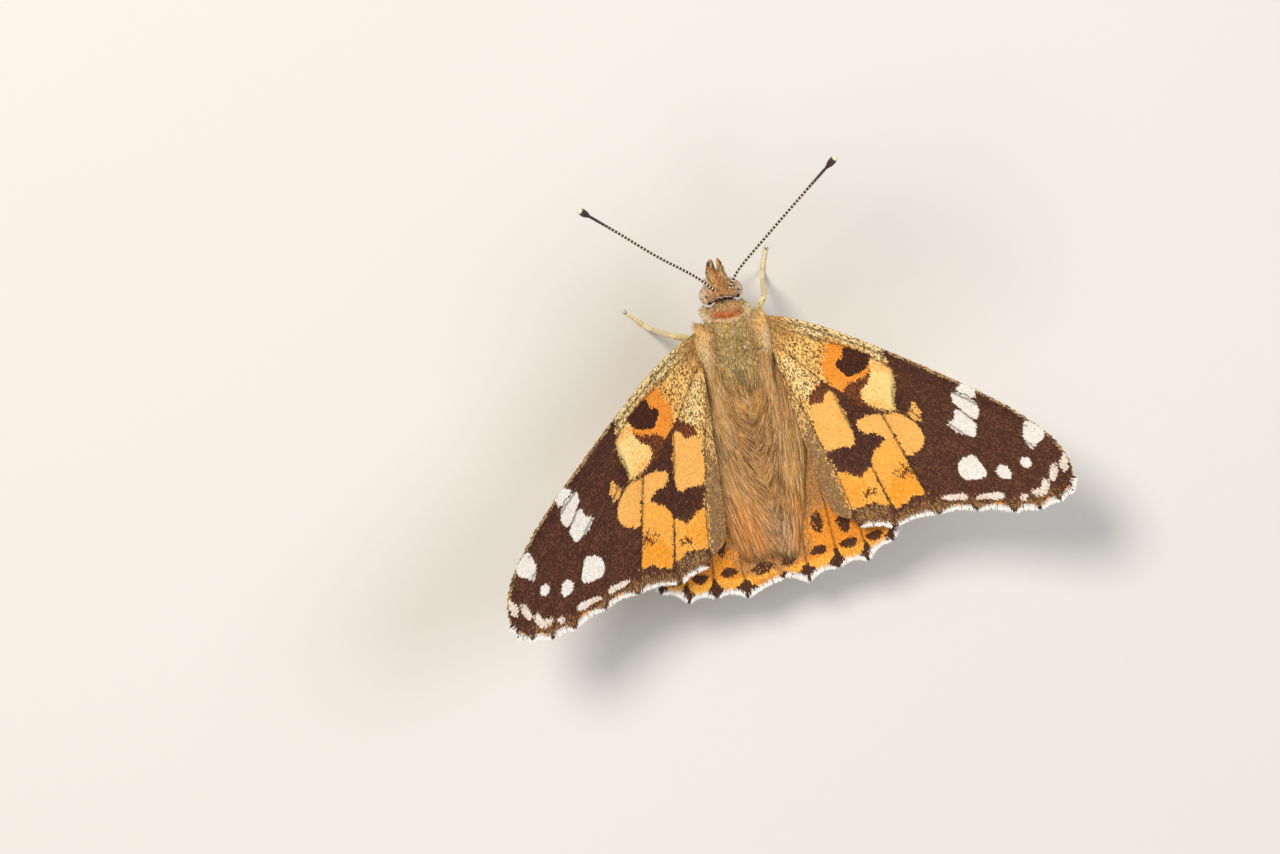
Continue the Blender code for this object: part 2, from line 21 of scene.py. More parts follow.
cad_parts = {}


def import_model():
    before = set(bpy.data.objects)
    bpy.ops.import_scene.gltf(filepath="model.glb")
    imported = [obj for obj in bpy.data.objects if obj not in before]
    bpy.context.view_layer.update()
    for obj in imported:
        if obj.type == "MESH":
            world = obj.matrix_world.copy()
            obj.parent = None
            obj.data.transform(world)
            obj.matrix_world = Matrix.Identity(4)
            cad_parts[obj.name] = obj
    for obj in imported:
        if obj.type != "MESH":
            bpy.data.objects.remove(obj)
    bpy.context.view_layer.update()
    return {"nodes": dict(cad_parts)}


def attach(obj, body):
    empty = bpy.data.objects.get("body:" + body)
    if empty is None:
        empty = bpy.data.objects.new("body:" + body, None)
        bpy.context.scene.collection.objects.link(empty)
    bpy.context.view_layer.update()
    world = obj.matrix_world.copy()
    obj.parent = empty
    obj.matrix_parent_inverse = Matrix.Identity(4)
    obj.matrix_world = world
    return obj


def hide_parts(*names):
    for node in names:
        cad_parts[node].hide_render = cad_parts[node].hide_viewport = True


log = logging.getLogger("painted_lady")

# One millimetre in metres
MM = 0.001
# How far the nose is raised, and how far above the floor and ahead of the middle the forewing roots lie
PITCH = math.radians(12.0)
ROOT_HEIGHT = 9.3
ROOT_AHEAD = 5.09
# How much of the unwrap one hair or scale takes
PATCH = 0.003
# Stands for every distance too great to matter
FAR = 9.0

Places = np.ndarray
Ring = list[tuple[float, float]]


class Side(Enum):
    """The butterfly's own sides, as the sign of x."""

    LEFT = 1
    RIGHT = -1

    @property
    def word(self) -> str:
        """The side's word in the names of pieces."""
        return self.name.lower()


class Face(Enum):
    """The two faces of a wing, as the sign of its lift."""

    UPPER = 1
    LOWER = -1


# Numbers, curves and colours


def to_frame(out: np.ndarray, back: np.ndarray, up: np.ndarray) -> Places:
    """Turn body places into places in the part's frame.

    Args:
        out: how far to the butterfly's left each place lies.
        back: how far to the rear.
        up: how far up.

    Returns:
        One row of x, y and z for each place.
    """
    y = back * math.cos(PITCH) + up * math.sin(PITCH) - ROOT_AHEAD
    z = up * math.cos(PITCH) - back * math.sin(PITCH) + ROOT_HEIGHT
    return np.stack([out, y, z], axis=-1)


def unit(vectors: np.ndarray) -> np.ndarray:
    """The vectors at length one."""
    return vectors / np.maximum(np.linalg.norm(vectors, axis=-1, keepdims=True), 1e-9)


def eased(value: np.ndarray, low: float, high: float) -> np.ndarray:
    """Ease from 0 at low to 1 at high."""
    t = np.clip((np.asarray(value, float) - low) / (high - low), 0.0, 1.0)
    return t * t * (3.0 - 2.0 * t)


def curve_through(points: list, per_span: int, closed: bool = False) -> np.ndarray:
    """Points on a smooth curve through the given ones.

    Args:
        points: the places that the curve passes, in any dimension.
        per_span: how many points the curve gets from one place to the next.
        closed: whether it returns to its start.

    Returns:
        The curve's points, one row each.
    """
    given = np.array(points, float)
    if closed:
        padded = np.concatenate([given[-1:], given, given[:2]])
    else:
        padded = np.concatenate([[2 * given[0] - given[1]], given, [2 * given[-1] - given[-2]]])
    t = np.arange(per_span)[:, None] / per_span
    spans = []
    for a, b, c, d in zip(padded, padded[1:], padded[2:], padded[3:]):
        spans.append(
            0.5
            * (
                2 * b
                + (c - a) * t
                + (2 * a - 5 * b + 4 * c - d) * t**2
                + (3 * b - a - 3 * c + d) * t**3
            )
        )
    if not closed:
        spans.append(given[-1:])
    return np.concatenate(spans)


def line_distance(flat: np.ndarray, line: np.ndarray) -> tuple[np.ndarray, np.ndarray]:
    """How far flat places lie from a run of straight pieces.

    Args:
        flat: the places, one row each.
        line: the run's corners.

    Returns:
        The distance, and how far along the run the nearest point lies, from 0 to 1.
    """
    best = np.full(len(flat), FAR * FAR)
    along = np.zeros(len(flat))
    count = len(line) - 1
    for i in range(count):
        edge = line[i + 1] - line[i]
        rel = flat - line[i]
        t = np.clip(rel @ edge / max(edge @ edge, 1e-12), 0.0, 1.0)
        gap = ((rel - t[:, None] * edge) ** 2).sum(axis=1)
        nearer = gap < best
        best = np.where(nearer, gap, best)
        along = np.where(nearer, (i + t) / count, along)
    return np.sqrt(best), along


def ring_distance(flat: np.ndarray, ring: np.ndarray) -> np.ndarray:
    """Signed distance to a closed ring, below 0 inside it; far places just get FAR."""
    found = np.full(len(flat), FAR)
    near = np.all((flat > ring.min(axis=0) - 1.5) & (flat < ring.max(axis=0) + 1.5), axis=1)
    spot = flat[near]
    best = np.full(len(spot), FAR * FAR)
    within = np.zeros(len(spot), bool)
    for a, b in zip(ring, np.roll(ring, -1, axis=0)):
        edge = b - a
        rel = spot - a
        t = np.clip(rel @ edge / max(edge @ edge, 1e-12), 0.0, 1.0)
        best = np.minimum(best, ((rel - t[:, None] * edge) ** 2).sum(axis=1))
        if a[1] != b[1]:
            crosses = (a[1] > spot[:, 1]) != (b[1] > spot[:, 1])
            reach = a[0] + (spot[:, 1] - a[1]) / (b[1] - a[1]) * edge[0]
            within ^= crosses & (spot[:, 0] < reach)
    found[near] = np.where(within, -1.0, 1.0) * np.sqrt(best)
    return found


def lumps(places: np.ndarray, size: float, seed: int) -> np.ndarray:
    """A smooth random field over flat places, from -1 to 1.

    Args:
        places: flat places, one row each.
        size: how far apart its lumps are.
        seed: which field.

    Returns:
        One value for each place.
    """
    table = np.random.default_rng(seed).random((64, 64)) * 2.0 - 1.0
    scaled = places / size + 1000.0
    cell = np.floor(scaled).astype(int)
    part = scaled - cell
    part = part * part * (3.0 - 2.0 * part)
    i, j = cell[:, 0] % 64, cell[:, 1] % 64
    k, m = (i + 1) % 64, (j + 1) % 64
    near = table[i, j] * (1 - part[:, 0]) + table[k, j] * part[:, 0]
    far = table[i, m] * (1 - part[:, 0]) + table[k, m] * part[:, 0]
    return near * (1 - part[:, 1]) + far * part[:, 1]


def linear(hex_colour: str) -> np.ndarray:
    """Turn an sRGB hex colour into linear red, green and blue."""
    parts = np.array([int(hex_colour[i : i + 2], 16) for i in (1, 3, 5)]) / 255.0
    return np.where(parts <= 0.04045, parts / 12.92, ((parts + 0.055) / 1.055) ** 2.4)


def rgba(hex_colour: str) -> tuple[float, float, float, float]:
    """An sRGB hex colour as a linear socket value."""
    return (*(float(c) for c in linear(hex_colour)), 1.0)


def blended(first: np.ndarray | str, second: np.ndarray | str, share: np.ndarray) -> np.ndarray:
    """Mix two colours, given as hex or as rows of them, by a share for each row."""
    first, second = (linear(c)[None] if isinstance(c, str) else c for c in (first, second))
    share = np.asarray(share)[..., None]
    return first * (1.0 - share) + second * share


def plain(hex_colour: str, count: int) -> np.ndarray:
    """One colour, repeated for so many rows."""
    return np.tile(linear(hex_colour), (count, 1))


def sampled(at: np.ndarray, stops: np.ndarray, line: np.ndarray) -> np.ndarray:
    """The places on a line at values that lie between its stops."""
    return np.stack([np.interp(at, stops, column) for column in line.T], axis=1)


def swung(aim: np.ndarray, turn: np.ndarray) -> np.ndarray:
    """Flat directions, each turned by an angle of its own."""
    c, s = np.cos(turn), np.sin(turn)
    return np.stack([aim[:, 0] * c - aim[:, 1] * s, aim[:, 0] * s + aim[:, 1] * c], axis=1)


def sleeve(rows: int, sides: int) -> list:
    """The faces of a sleeve of rings that two further corners close."""
    grid = np.arange(rows * sides).reshape(rows, sides)
    near, far = grid[:-1], grid[1:]
    quads = np.stack([near, np.roll(near, -1, axis=1), np.roll(far, -1, axis=1), far], axis=-1).reshape(-1, 4)
    start = np.stack([np.full(sides, rows * sides), np.roll(grid[0], -1), grid[0]], axis=1)
    end = np.stack([np.full(sides, rows * sides + 1), grid[-1], np.roll(grid[-1], -1)], axis=1)
    return [quads, start, end]


# Meshes


def add_tint(mesh: bpy.types.Mesh, colours: np.ndarray) -> None:
    """Give each corner of a mesh its linear colour."""
    rows = np.concatenate([np.clip(colours, 0.0, 1.0), np.ones((len(colours), 1))], axis=1)
    mesh.attributes.new("tint", "FLOAT_COLOR", "POINT").data.foreach_set("color", rows.ravel().astype(np.float32))


@dataclass
class Heap:
    """Collects corners and faces, and makes one joined mesh of them."""

    places: list = field(default_factory=list)
    tints: list = field(default_factory=list)
    patches: list = field(default_factory=list)
    vanes: list = field(default_factory=list)
    faces: list = field(default_factory=list)
    count: int = 0

    def add(self, places: Places, tints: np.ndarray, patches: np.ndarray, vanes: np.ndarray, faces: list) -> None:
        """Add corners and the faces between them.

        Args:
            places: one row for each corner.
            tints: its linear colour.
            patches: its place on the skin's unwrap.
            vanes: its place across and along its own hair or scale.
            faces: arrays of corner numbers, each with three or four columns.
        """
        self.places.append(places)
        self.tints.append(tints)
        self.patches.append(patches)
        self.vanes.append(vanes)
        self.faces += [f + self.count for f in faces]
        self.count += len(places)

    def mesh(self, name: str) -> bpy.types.Mesh:
        """Make the mesh, in metres, with its tints and its two UV maps."""
        places = np.concatenate(self.places) * MM
        corners = np.concatenate([f.ravel() for f in self.faces])
        sizes = np.concatenate([np.full(len(f), f.shape[1]) for f in self.faces])
        made = bpy.data.meshes.new(name)
        made.vertices.add(len(places))
        made.vertices.foreach_set("co", places.ravel().astype(np.float32))
        made.loops.add(len(corners))
        made.polygons.add(len(sizes))
        made.polygons.foreach_set("loop_start", np.concatenate([[0], np.cumsum(sizes)[:-1]]).astype(np.int32))
        made.polygons.foreach_set("vertices", corners.astype(np.int32))
        made.update(calc_edges=True)
        add_tint(made, np.concatenate(self.tints))
        for title, rows in (("OFBake", self.patches), ("Vane", self.vanes)):
            layer = made.uv_layers.new(name=title)
            layer.data.foreach_set("uv", np.concatenate(rows)[corners].ravel().astype(np.float32))
        made.uv_layers.active = made.uv_layers["OFBake"]
        made.shade_smooth()
        return made


def add_piece(name: str, heap: Heap, finish: "Finish", *nodes: str, slot: str) -> None:
    """Put a heap's mesh into the scene as a piece of the butterfly.

    Args:
        name: the piece's name.
        heap: its corners and faces, in the part's frame.
        finish: what it is made of.
        nodes: the solids that it stands for.
        slot: not used.
    """
    mesh = heap.mesh(name)
    piece = bpy.data.objects.new(name, mesh)
    bpy.context.scene.collection.objects.link(piece)
    mesh.materials.append(finish.material())
    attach(piece, "root")
    if nodes:
        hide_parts(*nodes)
    mesh.calc_loop_triangles()
    log.info("%s: %d triangles", name, len(mesh.loop_triangles))


# Finishes


def add_node(tree: bpy.types.NodeTree, kind: str, inputs: dict | None = None, **settings) -> bpy.types.Node:
    """Add a shader node.

    Args:
        tree: the material's node tree.
        kind: the node's type.
        inputs: each socket's value, or the output socket that feeds it.
        settings: the node's own properties.

    Returns:
        The node.
    """
    made = tree.nodes.new(kind)
    for name, value in settings.items():
        setattr(made, name, value)
    for name, value in (inputs or {}).items():
        if isinstance(value, bpy.types.NodeSocket):
            tree.links.new(value, made.inputs[name])
        else:
            made.inputs[name].default_value = value
    return made


def multiplied(
    tree: bpy.types.NodeTree, first: bpy.types.NodeSocket, second: bpy.types.NodeSocket
) -> bpy.types.NodeSocket:
    """The product of two colour or value sockets."""
    return add_node(tree, "ShaderNodeVectorMath", {0: first, 1: second}, operation="MULTIPLY").outputs["Vector"]


def blank_material(name: str) -> tuple[bpy.types.Material, bpy.types.NodeTree]:
    """A new material without nodes, and its tree."""
    made = bpy.data.materials.new(name)
    made.use_nodes = True
    made.node_tree.nodes.clear()
    return made, made.node_tree


@dataclass(frozen=True)
class Finish:
    """A surface whose colour is the mesh's own tint, seen through a fine grain.

    grain_mm is the size of its mottling, grain how far that darkens it, and groove_count
    the number of fine ridges across a hair or scale.
    """

    name: str
    roughness: float
    specular: float = 0.4
    grain_mm: float = 0.12
    grain: float = 0.18
    groove_count: float = 0.0
    bump: float = 0.0
    sheen: float = 0.0
    coat: float = 0.0

    def material(self) -> bpy.types.Material:
        """The finish as a material, made once."""
        known = bpy.data.materials.get(self.name)
        if known:
            return known
        made, tree = blank_material(self.name)
        where = add_node(tree, "ShaderNodeTexCoord").outputs["Object"]
        tint = add_node(tree, "ShaderNodeAttribute", attribute_name="tint").outputs["Color"]
        mottle = add_node(
            tree,
            "ShaderNodeTexNoise",
            {"Vector": where, "Scale": 1.0 / (self.grain_mm * MM), "Detail": 2.0, "Roughness": 0.6},
        ).outputs["Fac"]
        shade = add_node(
            tree,
            "ShaderNodeMapRange",
            {"Value": mottle, "From Min": 0.3, "From Max": 0.7, "To Min": 1.0 - self.grain, "To Max": 1.0 + self.grain},
        ).outputs["Result"]
        colour = multiplied(tree, tint, shade)
        shader = add_node(
            tree,
            "ShaderNodeBsdfPrincipled",
            {
                "Base Color": colour,
                "Roughness": self.roughness,
                "Specular IOR Level": self.specular,
                "Sheen Weight": self.sheen,
                "Sheen Roughness": 0.5,
                "Coat Weight": self.coat,
                "Coat Roughness": 0.2,
            },
        )
        if self.bump > 0.0:
            height = mottle
            if self.groove_count:
                vane = add_node(tree, "ShaderNodeUVMap", uv_map="Vane").outputs["UV"]
                height = add_node(
                    tree,
                    "ShaderNodeTexWave",
                    {"Vector": vane, "Scale": self.groove_count, "Distortion": 0.4},
                    bands_direction="X",
                ).outputs["Fac"]
            raised = add_node(
                tree, "ShaderNodeBump", {"Height": height, "Strength": self.bump, "Distance": 0.02 * MM}
            )
            tree.links.new(raised.outputs["Normal"], shader.inputs["Normal"])
        add_node(tree, "ShaderNodeOutputMaterial", {"Surface": shader.outputs["BSDF"]})
        return made


# Chitin wing scale: a dry, ribbed plate that scatters light and has a faint satin
WING_SCALE = Finish("wing_scale_chitin", roughness=0.6, specular=0.2, grain=0.1, groove_count=5.0, bump=0.25)
# Wing membrane: clear horn, here in the colour of the scales that stand on it
WING_MEMBRANE = Finish("wing_membrane_chitin", roughness=0.6, specular=0.3, grain=0.25, bump=0.3)
# Fringe scale: long and hair-like, matt, with no ribs to be seen
WING_FRINGE = Finish("wing_fringe_scale", roughness=0.7, specular=0.2, grain=0.06)
# Body hair: fine horn filaments, with a soft gloss along them
BODY_HAIR = Finish("body_hair_chitin", roughness=0.5, specular=0.22, grain=0.12, sheen=0.04)
# Body skin: sclerotised cuticle under the hair
BODY_SKIN = Finish("body_cuticle", roughness=0.5, specular=0.4, grain_mm=0.2, grain=0.35, bump=0.5)
# Horn of feelers, legs and tongue: smooth hard cuticle with fine scales on it
LIMB_HORN = Finish("limb_cuticle", roughness=0.4, specular=0.5, grain_mm=0.08, grain=0.2, bump=0.35, coat=0.1)


@dataclass(frozen=True)
class EyeFinish:
    """The compound eye: clear corneal facets over brown pigment, with darker false pupils."""

    name: str = "eye_cornea_facets"
    facet_mm: float = 0.05
    blotch_mm: float = 0.28

    def material(self) -> bpy.types.Material:
        """The finish as a material, made once."""
        known = bpy.data.materials.get(self.name)
        if known:
            return known
        made, tree = blank_material(self.name)
        where = add_node(tree, "ShaderNodeTexCoord").outputs["Object"]
        tint = add_node(tree, "ShaderNodeAttribute", attribute_name="tint").outputs["Color"]
        blotch = add_node(
            tree,
            "ShaderNodeTexNoise",
            {"Vector": where, "Scale": 1.0 / (self.blotch_mm * MM), "Detail": 3.0, "Roughness": 0.65},
        ).outputs["Fac"]
        ramp = add_node(tree, "ShaderNodeValToRGB", {"Fac": blotch})
        for stop, position, colour in zip(ramp.color_ramp.elements, (0.34, 0.6), ("#8a7768", "#ffffff")):
            stop.position, stop.color = position, rgba(colour)
        # The real facets are 0.02 mm across, drawn coarser so that they show
        cells = add_node(
            tree,
            "ShaderNodeTexVoronoi",
            {"Vector": where, "Scale": 1.0 / (self.facet_mm * MM), "Randomness": 0.25},
            feature="F1",
        ).outputs["Distance"]
        rim = add_node(
            tree,
            "ShaderNodeMapRange",
            {"Value": cells, "From Min": 0.15, "From Max": 0.7, "To Min": 1.1, "To Max": 0.75},
        ).outputs["Result"]
        colour = multiplied(tree, multiplied(tree, ramp.outputs["Color"], tint), rim)
        raised = add_node(
            tree, "ShaderNodeBump", {"Height": cells, "Strength": 0.6, "Distance": 0.02 * MM}, invert=True
        )
        shader = add_node(
            tree,
            "ShaderNodeBsdfPrincipled",
            {
                "Base Color": colour,
                "Roughness": 0.42,
                "IOR": 1.45,
                "Coat Weight": 0.25,
                "Coat Roughness": 0.3,
                "Normal": raised.outputs["Normal"],
            },
        )
        add_node(tree, "ShaderNodeOutputMaterial", {"Surface": shader.outputs["BSDF"]})
        return made


@dataclass(frozen=True)
class FloorFinish:
    """Seamless paper: matt, pale and without a pattern that shows."""

    name: str = "seamless_paper"
    colour: str = "#dcdad5"

    def material(self) -> bpy.types.Material:
        """The finish as a material."""
        made = bpy.data.materials.new(self.name)
        made.use_nodes = True
        shader = made.node_tree.nodes["Principled BSDF"]
        shader.inputs["Base Color"].default_value = rgba(self.colour)
        shader.inputs["Roughness"].default_value = 0.9
        shader.inputs["Specular IOR Level"].default_value = 0.1
        return made


# Tints of wing scales


@dataclass(frozen=True)
class Tint:
    """A ground of one colour, strewn with scales of another."""

    main: str
    fleck: str
    share: float = 0.2

    def colours(self, dice: np.ndarray | None, count: int) -> np.ndarray:
        """The colour of each scale, or the mean colour where no dice are given."""
        main, fleck = linear(self.main), linear(self.fleck)
        if dice is None:
            return np.tile(blended(main, fleck, np.array(self.share)), (count, 1))
        return blended(main[None], fleck[None], (dice < self.share).astype(float))


@dataclass(frozen=True)
class Mark:
    """A patch of a wing's pattern, as a smooth ring of flat places.

    soft is how wide its scales mingle with their neighbours, ragged how far its
    edge wanders, and reach how strongly it covers what lies under it.
    """

    tint: Tint
    ring: Ring
    soft: float = 0.12
    ragged: float = 0.12
    reach: float = 1.0
    smooth: bool = True

    def share(self, flat: np.ndarray, seed: int) -> np.ndarray:
        """How much of each flat place the mark covers, from 0 to 1."""
        ring = curve_through(self.ring, 4, closed=True) if self.smooth else np.array(self.ring, float)
        gap = ring_distance(flat, ring) + self.ragged * lumps(flat, 0.5, seed)
        return self.reach * (1.0 - eased(gap, -self.soft, self.soft))


def round_mark(tint: Tint, u: float, v: float, along: float, across: float, lean: float = 0.0, **more) -> Mark:
    """An oval mark.

    Args:
        tint: its scales.
        u: its middle's first flat coordinate.
        v: the second one.
        along: half its length.
        across: half its width.
        lean: how far its length leans from u to v, in degrees.
        more: further settings of the mark.

    Returns:
        The mark.
    """
    c, s = math.cos(math.radians(lean)), math.sin(math.radians(lean))
    ring = []
    for i in range(8):
        angle = math.tau * i / 8
        x, y = along * math.cos(angle), across * math.sin(angle)
        ring.append((u + x * c - y * s, v + x * s + y * c))
    return Mark(tint, ring, **more)


@dataclass
class Pattern:
    """A wing face's ground and its marks, painted in order."""

    ground: Tint
    marks: list
    seed: int

    def paint(self, flat: np.ndarray, rng: np.random.Generator | None) -> np.ndarray:
        """Give each flat place its colour.

        Args:
            flat: the places.
            rng: draws one scale's colour at each place; without it colours blend.

        Returns:
            One linear colour for each place.
        """
        count = len(flat)
        found = self.ground.colours(rng.random(count) if rng else None, count)
        for order, mark in enumerate(self.marks):
            share = mark.share(flat, self.seed + order)
            touched = share > 0.0
            if not touched.any():
                continue
            part = share[touched]
            own = mark.tint.colours(rng.random(len(part)) if rng else None, len(part))
            if rng:
                part = (rng.random(len(part)) < part).astype(float)
            found[touched] = blended(found[touched], own, part)
        return found


GOLD = Tint("#fbcb78", "#835b2c", 0.3)
GOLD_PALE = Tint("#f6dc9e", "#7c6036", 0.32)
GOLD_DEEP = Tint("#f4ba62", "#8a5520", 0.28)
COSTA_EDGE = Tint("#b79a6a", "#6a4c30", 0.3)
ORANGE_SOFT = Tint("#fbc067", "#f6b058", 0.3)
ORANGE_LIGHT = Tint("#fbb851", "#f4a742", 0.3)
ORANGE_DEEP = Tint("#f8a62e", "#ee9626", 0.3)
ORANGE_CELL = Tint("#f79e38", "#e88c2c", 0.35)
CREAM = Tint("#fbdc90", "#f6c878", 0.25)
CREAM_TOP = Tint("#f8c473", "#eda652", 0.3)
DARK = Tint("#4d2a1b", "#6d4530", 0.35)
DARK_RED = Tint("#673212", "#8a4f28", 0.3)
BLACK = Tint("#41200f", "#57301e", 0.2)
DEEP = Tint("#45231a", "#5c3726", 0.25)
BROWN = Tint("#694628", "#a07847", 0.4)
BROWN_LIGHT = Tint("#86643f", "#b08a5c", 0.35)
TAUPE = Tint("#8c6844", "#ad8a58", 0.35)
TAUPE_GOLD = Tint("#deb472", "#896238", 0.3)
WHITE = Tint("#f2ede6", "#e6dfd4", 0.2)
WHITE_SOFT = Tint("#f0e4d8", "#d9c1a4", 0.25)
AMBER = Tint("#e89a3c", "#c2762c", 0.3)

